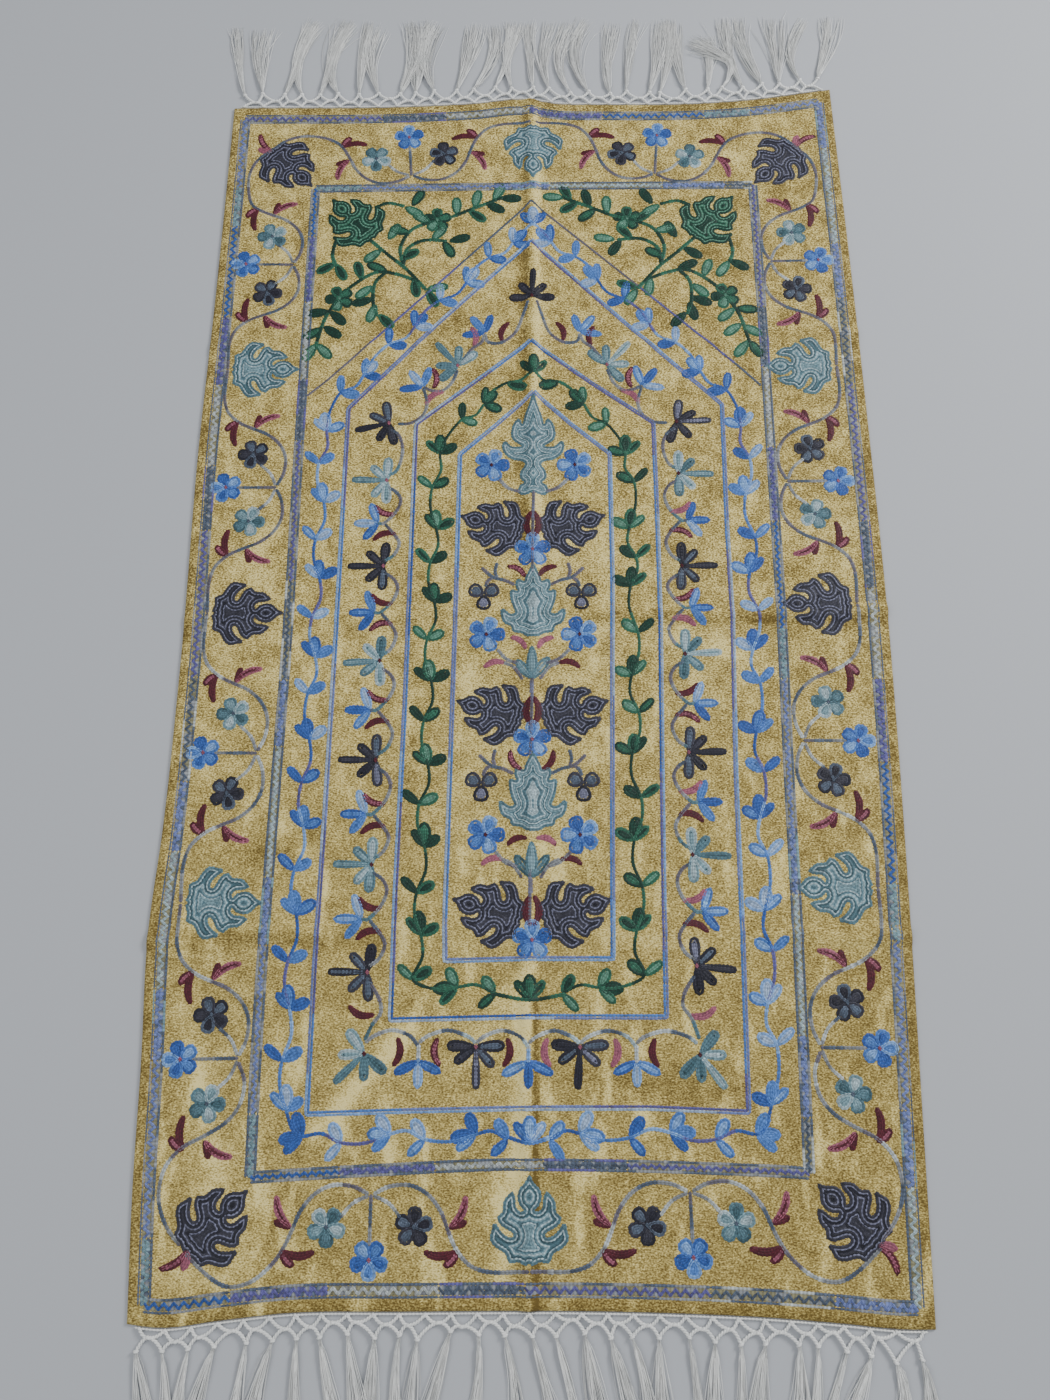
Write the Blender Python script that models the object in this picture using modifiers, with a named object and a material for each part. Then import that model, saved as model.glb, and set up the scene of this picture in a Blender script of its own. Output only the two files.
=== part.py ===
"""A flat velvet rug of prayer-mat size, with a knotted fringe at both short ends.

The rug lies on the plane z = 0. X runs across it, Y along it, and the origin is under
its middle. The cloth is one solid with its hem. Each fringe is one solid: a narrow
header along the hem, two rows of knotted net below it, and a tassel of three flat
locks of yarn on every knot of the second row.
"""
import bpy
import bmesh
import math
import numpy as np

COLLECTION_NAME = "chain_stitch_rug"

# Driving sizes of the cloth, in metres
CLOTH_WIDTH = 0.650
CLOTH_LENGTH = 1.200
HEM_THICKNESS = 0.0028
CLOTH_THICKNESS_SHARE = 0.80
ROLLED_EDGE_SHARE = 0.55
HEM_LINES = (0.0, 0.0025, 0.0070, 0.0140)

# Creases left by folding the rug away: a ridge lifts the cloth off the floor
LENGTH_FOLD_HEIGHT = 0.0030
FOLD_HALF_WIDTH = 0.0105
WIDEST_STEP = 0.052
# Columns: place along Y, height at the left edge, at the middle, at the right edge
CROSS_FOLDS = (
    (0.300, 0.0006, 0.0010, 0.0016),
    (0.004, 0.0008, 0.0018, 0.0030),
    (-0.295, 0.0022, 0.0012, 0.0030),
)

# How far each side stands out from the straight rectangle
# Columns: place along the side, distance outwards
LEFT_SIDE = (
    (-0.600, 0.000), (-0.500, 0.0054), (-0.400, 0.0078), (-0.285, 0.0120), (-0.200, 0.0075),
    (-0.050, 0.0048), (0.200, 0.0058), (0.330, 0.0030), (0.600, 0.000),
)
RIGHT_SIDE = (
    (-0.600, 0.000), (-0.450, 0.0040), (-0.300, 0.0080), (-0.100, 0.0117), (0.000, 0.0124),
    (0.200, 0.0097), (0.340, 0.0070), (0.600, 0.000),
)
FAR_END = (
    (-0.325, 0.000), (-0.120, 0.000), (-0.060, 0.0030), (-0.010, 0.0080), (0.032, 0.0012),
    (0.073, 0.000), (0.200, 0.0010), (0.250, 0.0055), (0.290, 0.0115), (0.325, 0.0170),
)
NEAR_END = (
    (-0.325, 0.0020), (-0.300, 0.0045), (-0.250, -0.0010), (-0.200, -0.0065), (-0.100, -0.0085),
    (0.100, -0.0090), (0.200, -0.0055), (0.250, -0.0020), (0.300, 0.0020), (0.325, 0.0020),
)

# Driving sizes of the fringe, in metres
HEM_GAP = 0.00036
HEADER_DEPTH = 0.0026
NET_COLUMNS = 31
NET_PITCH = CLOTH_WIDTH / NET_COLUMNS
FIRST_KNOT_ROW = 0.0085
SECOND_KNOT_ROW = 0.0175
CORD_WIDTH = 0.0023
KNOT_HALF_WIDTH = 0.0030
KNOT_HALF_DEPTH = 0.0022
CORD_THICKNESS = 0.0019
LOCK_THICKNESS = 0.0026
TIP_THICKNESS = 0.0015
LOCKS_PER_TASSEL = 3
LOCK_TIP_SPACING = 0.0062
LOCK_CLEARANCE = 0.0009
# Columns: distance from the rug's middle along Y, width of a lock there
LOCK_LEVELS = (
    (0.645, 0.0028),
    (0.668, 0.0034),
    (0.692, 0.0032),
)
TIP_LEVEL = 0.714
TIP_WIDTH = 0.0024
BEND_SHARE = 0.35

# How the tassels lie, from left to right, in millimetres
# Columns: sideways bend at a third of the length, sideways reach of the tip, change of length
FAR_TASSELS = (
    (-8, -16, -4), (-4, -6, -6), (9, 24, 2), (-7, 12, 4), (8, 22, 5), (-9, 12, 0), (2, 10, 2),
    (-9, -8, -6), (12, 18, 2), (2, -3, 4), (-12, -2, 2), (9, 17, -2), (15, 22, -4), (12, 22, 0),
    (-7, 0, -2), (-4, -4, -3), (-8, -6, 2), (-13, -1, -2), (-12, 2, 0), (-2, 6, -3), (2, 10, 2),
    (10, 20, 0), (9, 14, 2), (-6, -8, -2), (3, 5, -22), (9, 3, -26), (-9, -13, 2), (-14, -26, 2),
    (0, 2, 2), (-7, 12, -3), (8, 16, 3),
)
NEAR_TASSELS = (
    (8, 24, 0), (7, 18, 2), (3, 9, -3), (-9, -11, 3), (-5, -9, 0), (-9, -18, 2), (-3, 2, 3),
    (10, 26, 2), (6, 15, -2), (-1, -3, 2), (-4, 3, 3), (-4, -12, 0), (-12, -27, 2), (2, -20, 0),
    (8, 8, -2), (9, 20, 0), (10, 22, -4), (6, 24, 0), (12, 26, 2), (10, 20, -3), (2, 6, 2),
    (4, 8, 0), (0, -1, 2), (0, -4, 3), (-6, -18, 0), (-2, -9, 2), (-3, -13, 0), (-12, -28, -4),
    (-14, -32, -16), (6, -12, -22), (3, 6, -26),
)

# Colours, as red, green, blue, alpha
VELVET_GOLD = (0.42, 0.29, 0.11, 1.0)
SILK_WHITE = (0.80, 0.79, 0.75, 1.0)


def clear_objects():
    """Remove whatever objects the opened file holds."""
    for old in list(bpy.data.objects):
        bpy.data.objects.remove(old, do_unlink=True)


def make_material(name, colour, roughness):
    """Return a Principled material of one colour."""
    material = bpy.data.materials.new(name)
    material.use_nodes = True
    shader = material.node_tree.nodes["Principled BSDF"]
    shader.inputs["Base Color"].default_value = colour
    shader.inputs["Roughness"].default_value = roughness
    shader.inputs["Metallic"].default_value = 0.0
    return material


def smooth_offset(rows, place):
    """Read a side's table at a place, on a smooth curve through its rows."""
    places = [row[0] for row in rows]
    offsets = [row[1] for row in rows]
    slopes = np.gradient(offsets, places)
    k = min(max(int(np.searchsorted(places, place)) - 1, 0), len(rows) - 2)
    span = places[k + 1] - places[k]
    t = min(max((place - places[k]) / span, 0.0), 1.0)
    return (
        offsets[k] * (1 + 2 * t) * (1 - t) ** 2
        + offsets[k + 1] * t * t * (3 - 2 * t)
        + slopes[k] * span * t * (1 - t) ** 2
        - slopes[k + 1] * span * t * t * (1 - t)
    )


def cloth_x_lines():
    """Lines across the width: the hem, the net's columns, and the fold down the middle."""
    half = CLOTH_WIDTH / 2
    to_the_right = [FOLD_HALF_WIDTH / 2, 0.5 * NET_PITCH, 1.5 * NET_PITCH]
    to_the_right += [(k + 0.5) * NET_PITCH for k in range(3, NET_COLUMNS // 2, 2)]
    to_the_right += [half - depth for depth in reversed(HEM_LINES)]
    return [-x for x in reversed(to_the_right)] + [0.0] + to_the_right


def cloth_y_lines():
    """Lines along the length: the hem, the cross folds, and steps between them."""
    half = CLOTH_LENGTH / 2
    lines = [half - depth for depth in HEM_LINES]
    lines += [depth - half for depth in HEM_LINES]
    for place, *_heights in CROSS_FOLDS:
        lines += [place + share * FOLD_HALF_WIDTH for share in (-1.0, -0.5, 0.0, 0.5, 1.0)]
    lines.sort()
    filled = [lines[0]]
    for nearer, farther in zip(lines, lines[1:]):
        steps = math.ceil((farther - nearer) / WIDEST_STEP)
        filled += [nearer + (farther - nearer) * k / steps for k in range(1, steps + 1)]
    return filled


def ridge(distance):
    """Height share of a soft ridge at a distance from its crest."""
    share = min(abs(distance) / FOLD_HALF_WIDTH, 1.0)
    return (1.0 - share * share) ** 2


def fold_lift(x, y):
    """How far the creases lift the underside off the floor."""
    lift = LENGTH_FOLD_HEIGHT * ridge(x)
    for place, left, middle, right in CROSS_FOLDS:
        half = CLOTH_WIDTH / 2
        crest = np.interp(x, (-half, 0.0, half), (left, middle, right))
        lift = max(lift, crest * ridge(y - place))
    return lift


def end_line(end, x):
    """Y of the cloth's end at x, where end is 1 for the far end and -1 for the near one."""
    rows = FAR_END if end > 0 else NEAR_END
    lines = cloth_x_lines()
    offsets = [smooth_offset(rows, line) for line in lines]
    return end * (CLOTH_LENGTH / 2 + np.interp(x, lines, offsets))


def cloth_point(x, y):
    """Move a point of the straight rectangle to its place in the uneven cloth."""
    to_right = 0.5 + x / CLOTH_WIDTH
    to_far = 0.5 + y / CLOTH_LENGTH
    left_shift = -smooth_offset(LEFT_SIDE, y)
    right_shift = smooth_offset(RIGHT_SIDE, y)
    near_shift = end_line(-1, x) + CLOTH_LENGTH / 2
    far_shift = end_line(1, x) - CLOTH_LENGTH / 2
    return (
        x + left_shift * (1 - to_right) + right_shift * to_right,
        y + near_shift * (1 - to_far) + far_shift * to_far,
        fold_lift(x, y),
    )


def hem_share(x, y):
    """Thickness of the cloth at a point, as a share of the hem's."""
    inset = min(CLOTH_WIDTH / 2 - abs(x), CLOTH_LENGTH / 2 - abs(y))
    shares = (ROLLED_EDGE_SHARE, 1.0, 1.0, CLOTH_THICKNESS_SHARE)
    return float(np.interp(inset, HEM_LINES, shares))


def new_object(name, mesh, material, collection):
    """Put a mesh in the scene under a name, with its material."""
    mesh.materials.append(material)
    made = bpy.data.objects.new(name, mesh)
    collection.objects.link(made)
    return made


def thicken(made, shares, thickness):
    """Give an open surface its thickness upwards, point by point."""
    group = made.vertex_groups.new(name="thickness")
    for index, share in enumerate(shares):
        group.add([index], share, "REPLACE")
    shell = made.modifiers.new("thickness", "SOLIDIFY")
    shell.thickness = thickness
    shell.offset = 1.0
    shell.vertex_group = group.name
    shell.use_rim = True


def build_cloth(material, collection):
    """The velvet cloth with its hem, as a grid drawn to the uneven outline."""
    x_lines = cloth_x_lines()
    y_lines = cloth_y_lines()
    bm = bmesh.new()
    bmesh.ops.create_grid(bm, x_segments=len(x_lines) - 1, y_segments=len(y_lines) - 1, size=0.5)
    shares = []
    for vert in bm.verts:
        x = x_lines[round((vert.co.x + 0.5) * (len(x_lines) - 1))]
        y = y_lines[round((vert.co.y + 0.5) * (len(y_lines) - 1))]
        vert.co = cloth_point(x, y)
        shares.append(hem_share(x, y))
    mesh = bpy.data.meshes.new("rug_cloth")
    bm.to_mesh(mesh)
    bm.free()
    cloth = new_object("rug_cloth", mesh, material, collection)
    thicken(cloth, shares, HEM_THICKNESS)
    mesh.shade_smooth()


def column_x(column):
    """X of a column of the net, counted from the left."""
    return (column + 0.5) * NET_PITCH - CLOTH_WIDTH / 2


def keep_apart(centres, least):
    """Push neighbours sideways until none is nearer to the next than least."""
    placed = list(centres)
    for _sweep in range(60):
        for k in range(len(placed) - 1):
            short = least - (placed[k + 1] - placed[k])
            if short > 0:
                placed[k] -= short / 2
                placed[k + 1] += short / 2
    return placed


def lock_centres(tassels, level, width):
    """X of every lock of one fringe at a distance along the rug."""
    root_level = CLOTH_LENGTH / 2 + SECOND_KNOT_ROW
    t = (level - root_level) / (TIP_LEVEL - root_level)
    centres = []
    for column, (bend, tip, _longer) in enumerate(tassels):
        sway = bend * t * (1 - t) / (BEND_SHARE * (1 - BEND_SHARE))
        sway += tip * t * (t - BEND_SHARE) / (1 - BEND_SHARE)
        for lock in range(LOCKS_PER_TASSEL):
            beside = (lock - (LOCKS_PER_TASSEL - 1) / 2) * LOCK_TIP_SPACING * t ** 0.7
            centres.append(column_x(column) + sway / 1000 + beside)
    return keep_apart(centres, width + LOCK_CLEARANCE)


class Surface:
    """An open flat surface that grows by points and faces, with a thickness at each point."""

    def __init__(self, end):
        self.end = end
        self.bm = bmesh.new()
        self.shares = []

    def point(self, x, y, thickness):
        """Add a point on the floor and return it."""
        self.shares.append(thickness / LOCK_THICKNESS)
        return self.bm.verts.new((x, y, 0.0))

    def hung(self, x, depth, thickness):
        """Add a point at a depth below the hem and return it."""
        y = end_line(self.end, x) + self.end * (HEM_GAP + depth)
        return self.point(x, y, thickness)

    def face(self, *corners):
        """Join points to a face."""
        self.bm.faces.new(corners)


def header_stations():
    """X of the header's points: three on each column, and one under each line of the cloth."""
    own = []
    for column in range(NET_COLUMNS):
        own += [column_x(column) + side * CORD_WIDTH for side in (-1, 0, 1)]
    own_set = [round(x, 6) for x in own]
    between = [x for x in cloth_x_lines() if own[0] < x < own[-1] and round(x, 6) not in own_set]
    return sorted(own + between)


def build_header(surface):
    """The strip along the hem. Returns each column's three lower points."""
    stations = header_stations()
    upper = [surface.hung(x, 0.0, CORD_THICKNESS) for x in stations]
    lower = [surface.hung(x, HEADER_DEPTH, CORD_THICKNESS) for x in stations]
    for k in range(len(stations) - 1):
        surface.face(upper[k], lower[k], lower[k + 1], upper[k + 1])
    roots = []
    for column in range(NET_COLUMNS):
        middle = min(range(len(stations)), key=lambda k: abs(stations[k] - column_x(column)))
        roots.append(lower[middle - 1:middle + 2])
    return roots


def build_first_knots(surface, roots):
    """The knots between the columns, each held by two cords from the header."""
    knots = []
    for column in range(NET_COLUMNS - 1):
        x = column_x(column) + NET_PITCH / 2
        top = surface.hung(x, FIRST_KNOT_ROW - KNOT_HALF_DEPTH, CORD_THICKNESS)
        left = surface.hung(x - KNOT_HALF_WIDTH, FIRST_KNOT_ROW, CORD_THICKNESS)
        right = surface.hung(x + KNOT_HALF_WIDTH, FIRST_KNOT_ROW, CORD_THICKNESS)
        bottom = surface.hung(x, FIRST_KNOT_ROW + KNOT_HALF_DEPTH, CORD_THICKNESS)
        surface.face(top, left, bottom, right)
        surface.face(roots[column][1], left, top, roots[column][2])
        surface.face(roots[column + 1][0], top, right, roots[column + 1][1])
        knots.append((left, bottom, right))
    return knots


def build_second_knots(surface, first_knots):
    """The knots that the tassels hang from. Returns each one's four lower points."""
    knots = []
    for column in range(NET_COLUMNS):
        x = column_x(column)
        top = surface.hung(x, SECOND_KNOT_ROW - KNOT_HALF_DEPTH, CORD_THICKNESS)
        lower = [
            surface.hung(x - KNOT_HALF_WIDTH, SECOND_KNOT_ROW, CORD_THICKNESS),
            surface.hung(x - KNOT_HALF_WIDTH / 3, SECOND_KNOT_ROW + KNOT_HALF_DEPTH, LOCK_THICKNESS),
            surface.hung(x + KNOT_HALF_WIDTH / 3, SECOND_KNOT_ROW + KNOT_HALF_DEPTH, LOCK_THICKNESS),
            surface.hung(x + KNOT_HALF_WIDTH, SECOND_KNOT_ROW, CORD_THICKNESS),
        ]
        surface.face(top, *lower)
        if column < NET_COLUMNS - 1:
            left, bottom, _right = first_knots[column]
            surface.face(left, top, lower[3], bottom)
        if column > 0:
            _left, bottom, right = first_knots[column - 1]
            surface.face(right, bottom, lower[0], top)
        knots.append(lower)
    return knots


def build_tassels(surface, tassels, knots):
    """Three tapering locks below every knot of the second row."""
    rows = [lock_centres(tassels, level, width) for level, width in LOCK_LEVELS]
    tips = lock_centres(tassels, TIP_LEVEL, LOCK_LEVELS[-1][1])
    last_level = LOCK_LEVELS[-1][0]
    for column, lower in enumerate(knots):
        tip_level = TIP_LEVEL + tassels[column][2] / 1000
        reach = (tip_level - last_level) / (TIP_LEVEL - last_level)
        for lock in range(LOCKS_PER_TASSEL):
            k = column * LOCKS_PER_TASSEL + lock
            left = lower[lock]
            right = lower[lock + 1]
            for (level, width), centres in zip(LOCK_LEVELS, rows):
                if level > tip_level - 0.004:
                    break
                next_left = surface.point(centres[k] - width / 2, surface.end * level, LOCK_THICKNESS)
                next_right = surface.point(centres[k] + width / 2, surface.end * level, LOCK_THICKNESS)
                surface.face(left, next_left, next_right, right)
                left = next_left
                right = next_right
            if reach <= 0:
                continue
            x = rows[-1][k] + (tips[k] - rows[-1][k]) * reach
            tip_left = surface.point(x - TIP_WIDTH / 2, surface.end * tip_level, TIP_THICKNESS)
            tip_right = surface.point(x + TIP_WIDTH / 2, surface.end * tip_level, TIP_THICKNESS)
            surface.face(left, tip_left, tip_right, right)


def build_fringe(name, end, tassels, material, collection):
    """One fringe: header, net and tassels in one flat surface, then given its thickness."""
    surface = Surface(end)
    roots = build_header(surface)
    first_knots = build_first_knots(surface, roots)
    second_knots = build_second_knots(surface, first_knots)
    build_tassels(surface, tassels, second_knots)
    bmesh.ops.recalc_face_normals(surface.bm, faces=surface.bm.faces)
    surface.bm.faces.ensure_lookup_table()
    if surface.bm.faces[0].normal.z < 0:
        bmesh.ops.reverse_faces(surface.bm, faces=surface.bm.faces)
    mesh = bpy.data.meshes.new(name)
    surface.bm.to_mesh(mesh)
    surface.bm.free()
    fringe = new_object(name, mesh, material, collection)
    thicken(fringe, surface.shares, LOCK_THICKNESS)


def build_rug():
    """Build the cloth and the two fringes in a collection of their own."""
    clear_objects()
    collection = bpy.data.collections.new(COLLECTION_NAME)
    bpy.context.scene.collection.children.link(collection)
    velvet = make_material("gold_velvet", VELVET_GOLD, 0.75)
    silk = make_material("white_silk_yarn", SILK_WHITE, 0.45)
    build_cloth(velvet, collection)
    build_fringe("fringe_far", 1, FAR_TASSELS, silk, collection)
    build_fringe("fringe_near", -1, NEAR_TASSELS, silk, collection)


build_rug()
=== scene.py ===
import bpy
import math
import numpy as np
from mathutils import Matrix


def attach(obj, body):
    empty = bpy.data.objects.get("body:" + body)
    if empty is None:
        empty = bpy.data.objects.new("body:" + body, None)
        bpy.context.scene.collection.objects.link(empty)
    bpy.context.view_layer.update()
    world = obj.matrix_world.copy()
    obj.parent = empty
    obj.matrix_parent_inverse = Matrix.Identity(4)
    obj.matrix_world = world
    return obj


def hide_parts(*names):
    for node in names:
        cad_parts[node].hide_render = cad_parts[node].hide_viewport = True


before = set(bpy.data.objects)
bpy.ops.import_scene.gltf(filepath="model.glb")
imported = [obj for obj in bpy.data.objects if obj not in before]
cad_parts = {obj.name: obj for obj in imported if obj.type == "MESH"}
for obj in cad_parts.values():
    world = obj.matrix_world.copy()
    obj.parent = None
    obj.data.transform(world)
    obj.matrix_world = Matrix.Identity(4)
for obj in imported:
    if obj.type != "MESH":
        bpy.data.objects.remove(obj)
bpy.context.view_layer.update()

# The velvet cloth: one piece of crushed gold velvet on a cotton back, with a turned hem.
# It is cut a little uneven, and keeps the ridges where it was folded away. It is a grid
# drawn to that outline and given its thickness upwards from the floor.
WIDTH = 0.650
LENGTH = 1.200
HEM_THICKNESS = 0.0028
CLOTH_SHARE = 0.80
WIDEST_CELL = 0.0092
HEM_LINES = (0.0, 0.0008, 0.0025, 0.0070, 0.0100, 0.0140)
HEM_SHARES = (0.40, 0.80, 1.00, 1.00, 0.84, CLOTH_SHARE)
FOLD_HALF_WIDTH = 0.0105
LENGTH_FOLD_HEIGHT = 0.0030
# Columns: place along Y, height at the left edge, at the middle, at the right edge
CROSS_FOLDS = (
    (0.300, 0.0006, 0.0010, 0.0016),
    (0.004, 0.0008, 0.0018, 0.0030),
    (-0.295, 0.0022, 0.0012, 0.0030),
)
# Columns: place along the side, distance outwards from the straight rectangle
LEFT_SIDE = (
    (-0.600, 0.000), (-0.500, 0.0054), (-0.400, 0.0078), (-0.285, 0.0120), (-0.200, 0.0075),
    (-0.050, 0.0048), (0.200, 0.0058), (0.330, 0.0030), (0.600, 0.000),
)
RIGHT_SIDE = (
    (-0.600, 0.000), (-0.450, 0.0040), (-0.300, 0.0080), (-0.100, 0.0117), (0.000, 0.0124),
    (0.200, 0.0097), (0.340, 0.0070), (0.600, 0.000),
)
FAR_END = (
    (-0.325, 0.000), (-0.120, 0.000), (-0.060, 0.0030), (-0.010, 0.0080), (0.032, 0.0012),
    (0.073, 0.000), (0.200, 0.0010), (0.250, 0.0055), (0.290, 0.0115), (0.325, 0.0170),
)
NEAR_END = (
    (-0.325, 0.0020), (-0.300, 0.0045), (-0.250, -0.0010), (-0.200, -0.0065), (-0.100, -0.0085),
    (0.100, -0.0090), (0.200, -0.0055), (0.250, -0.0020), (0.300, 0.0020), (0.325, 0.0020),
)


def side_offset(rows, place):
    """Read a side's table at places, on a smooth curve through its rows."""
    places, offsets = np.array(rows).T
    slopes = np.gradient(offsets, places)
    k = np.clip(np.searchsorted(places, place) - 1, 0, len(places) - 2)
    span = places[k + 1] - places[k]
    t = np.clip((place - places[k]) / span, 0.0, 1.0)
    return (
        offsets[k] * (1 + 2 * t) * (1 - t) ** 2
        + offsets[k + 1] * t * t * (3 - 2 * t)
        + slopes[k] * span * t * (1 - t) ** 2
        - slopes[k + 1] * span * t * t * (1 - t)
    )


def laid_shift(x, y):
    """How far the uneven cloth lies from the straight rectangle at its points."""
    to_right = 0.5 + x / WIDTH
    to_far = 0.5 + y / LENGTH
    across = side_offset(RIGHT_SIDE, y) * to_right - side_offset(LEFT_SIDE, y) * (1 - to_right)
    lengthwise = side_offset(FAR_END, x) * to_far - side_offset(NEAR_END, x) * (1 - to_far)
    return across, lengthwise


def ridge(distance):
    """Height share of a soft ridge at distances from its crest."""
    share = np.minimum(np.abs(distance) / FOLD_HALF_WIDTH, 1.0)
    return (1.0 - share * share) ** 2


def fold_lift(x, y):
    """How far the creases lift the underside at points of the straight rectangle."""
    lift = LENGTH_FOLD_HEIGHT * ridge(x)
    for place, left, middle, right in CROSS_FOLDS:
        crest = np.interp(x, (-WIDTH / 2, 0.0, WIDTH / 2), (left, middle, right))
        lift = np.maximum(lift, crest * ridge(y - place))
    return lift


def cloth_top(x, y):
    """Height of the velvet at points of the cloth as it lies."""
    flat_x = np.array(x)
    flat_y = np.array(y)
    for _pass in range(2):
        across, lengthwise = laid_shift(flat_x, flat_y)
        flat_x = x - across
        flat_y = y - lengthwise
    return fold_lift(flat_x, flat_y) + HEM_THICKNESS * CLOTH_SHARE


def grid_lines(length, folds):
    """Lines across one direction of the cloth: close at hem and folds, wider between."""
    lines = [side * (length / 2 - depth) for depth in HEM_LINES for side in (-1, 1)]
    for place in folds:
        lines += [place + share * FOLD_HALF_WIDTH for share in np.linspace(-1, 1, 9)]
    lines.sort()
    filled = [lines[0]]
    for nearer, farther in zip(lines, lines[1:]):
        steps = max(math.ceil((farther - nearer) / WIDEST_CELL), 1)
        filled += list(np.linspace(nearer, farther, steps + 1)[1:])
    return np.array(filled)


x_lines = grid_lines(WIDTH, [0.0])
y_lines = grid_lines(LENGTH, [row[0] for row in CROSS_FOLDS])
bpy.ops.object.select_all(action="DESELECT")
bpy.ops.mesh.primitive_grid_add(
    x_subdivisions=len(x_lines) - 1, y_subdivisions=len(y_lines) - 1, size=1.0
)
velvet = bpy.context.object
velvet.name = "velvet_cloth"
grid = np.empty(len(velvet.data.vertices) * 3)
velvet.data.vertices.foreach_get("co", grid)
grid = grid.reshape(-1, 3)
flat_x = x_lines[np.rint((grid[:, 0] + 0.5) * (len(x_lines) - 1)).astype(int)]
flat_y = y_lines[np.rint((grid[:, 1] + 0.5) * (len(y_lines) - 1)).astype(int)]
across, lengthwise = laid_shift(flat_x, flat_y)
grid = np.stack([flat_x + across, flat_y + lengthwise, fold_lift(flat_x, flat_y)], 1)
velvet.data.vertices.foreach_set("co", grid.ravel())
inset = np.minimum(WIDTH / 2 - np.abs(flat_x), LENGTH / 2 - np.abs(flat_y))
hem_group = velvet.vertex_groups.new(name="thickness")
for index, share in enumerate(np.interp(inset, HEM_LINES, HEM_SHARES)):
    hem_group.add([index], float(share), "REPLACE")

# Painted sheen and painted shade: streaks painted lighter where pile pressed flat would shine and
# where a crease faces the light, and darker where a crease is in shade. Columns x, y, x, y of a
# streak's ends in millimetres, its half width, and how much lighter (or darker) it is
PAINTED_SHEEN_AND_SHADE_STREAKS = (
    (5, 592, 6, 60, 5, 0.50), (-6, 592, -6, 80, 5, -0.45), (4, -335, 5, -592, 3.0, -0.95),
    (7, 40, 8, -330, 6, -0.15), (-3, -330, -8, -480, 9, 0.75), (-8, -480, -22, -575, 8, 0.55),
    (2, -120, 0, -330, 7, 0.25), (-178, -455, -104, -372, 8, 0.80), (-262, -482, -262, -505, 16, 0.40),
    (-300, -350, -292, -395, 6, 0.45), (-215, -372, -222, -425, 5, 0.40),
    (-240, -505, -236, -560, 7, 0.45), (-284, -395, -262, -480, 9, 0.30),
    (-318, -560, -250, -572, 10, 0.35), (-52, -60, -60, -300, 12, 0.15), (-20, -490, -20, -520, 12, 0.35),
    (60, -290, 150, -300, 7, 0.35), (160, -293, 320, -300, 6, 0.20), (120, 4, 330, 0, 6, -0.28),
    (60, 6, 120, 4, 6, -0.18), (130, -8, 200, -30, 14, 0.35), (40, 90, 78, 60, 18, 0.25),
    (20, -250, 30, -120, 20, 0.15), (-70, 330, -160, 320, 14, -0.25), (-200, -200, -240, -225, 12, -0.45),
    (-60, 260, 60, 262, 16, -0.10), (225, -10, 226, 20, 10, -0.25), (-150, 90, -150, -110, 14, 0.18),
    (100, 330, 200, 340, 12, -0.20), (-330, -292, -120, -298, 6, -0.25), (-262, 90, -262, 40, 12, 0.22),
    (255, 100, 300, 60, 12, 0.20), (150, 540, 250, 520, 14, 0.22), (-110, -60, -110, -200, 8, -0.15),
    (180, -420, 60, -410, 12, -0.22), (-60, -400, -20, -345, 9, 0.35), (-205, 0, -200, 40, 8, -0.2),
    (-30, 480, 30, 500, 14, 0.18), (210, 400, 150, 430, 16, -0.15),
)
here = grid[:, :2] * 1000
# Darker towards the near end and towards the right side
painted_light_and_tone = np.interp(here[:, 1], (-600, -330, -60, 200, 600), (-0.10, -0.05, 0.06, 0.02, -0.02))
painted_light_and_tone += np.interp(here[:, 0], (-330, 60, 330), (0.05, 0.02, -0.10))
# Each streak is painted lighter or darker: painted sheen and painted shade
for x0, y0, x1, y1, half_width, strength in PAINTED_SHEEN_AND_SHADE_STREAKS:
    start = np.array((x0, y0))
    run = np.array((x1, y1)) - start
    share = np.clip(((here - start) @ run) / (run @ run), 0, 1)
    away = np.hypot(*(here - start - share[:, None] * run).T)
    painted_light_and_tone += 1.2 * strength * np.exp(-(away / half_width) ** 2)
# Darker in the hem
painted_light_and_tone += np.interp(inset * 1000, (0, 8, 12), (-0.30, -0.26, 0.0))
painted_light_and_tone_layer = velvet.data.attributes.new("painted_light_and_tone", "FLOAT", "POINT")
painted_light_and_tone_layer.data.foreach_set("value", painted_light_and_tone)
# A weight that rises towards the near end: there the fine speckle is softer, and painted sheen streaks are
# added
near_end_weight = np.interp(here[:, 1], (-600, -250, 50, 600), (1.0, 0.9, 0.35, 0.2))
near_end_weight_layer = velvet.data.attributes.new("near_end_weight", "FLOAT", "POINT")
near_end_weight_layer.data.foreach_set("value", near_end_weight)

shell = velvet.modifiers.new("thickness", "SOLIDIFY")
shell.thickness = HEM_THICKNESS
shell.offset = 1.0
shell.vertex_group = hem_group.name
bpy.context.view_layer.objects.active = velvet
bpy.ops.object.modifier_apply(modifier=shell.name)
bpy.ops.object.shade_smooth()


def linear(red, green, blue):
    """A colour given by its 8-bit screen values, as scene-linear light."""
    values = np.array([red, green, blue]) / 255.0
    return np.where(values <= 0.04045, values / 12.92, ((values + 0.055) / 1.055) ** 2.4)


def rgba(red, green, blue):
    """The same colour as the four numbers that a socket takes."""
    return (*linear(red, green, blue), 1.0)


def new_material(name):
    """A material with its node tree and its shader."""
    material = bpy.data.materials.new(name)
    material.use_nodes = True
    return material, material.node_tree, material.node_tree.nodes["Principled BSDF"]


def set_inputs(node, values):
    """Set named or numbered inputs, each to a value or to another node's output."""
    for key, value in dict(values).items():
        if isinstance(value, bpy.types.NodeSocket):
            node.id_data.links.new(value, node.inputs[key])
        else:
            node.inputs[key].default_value = value


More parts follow.
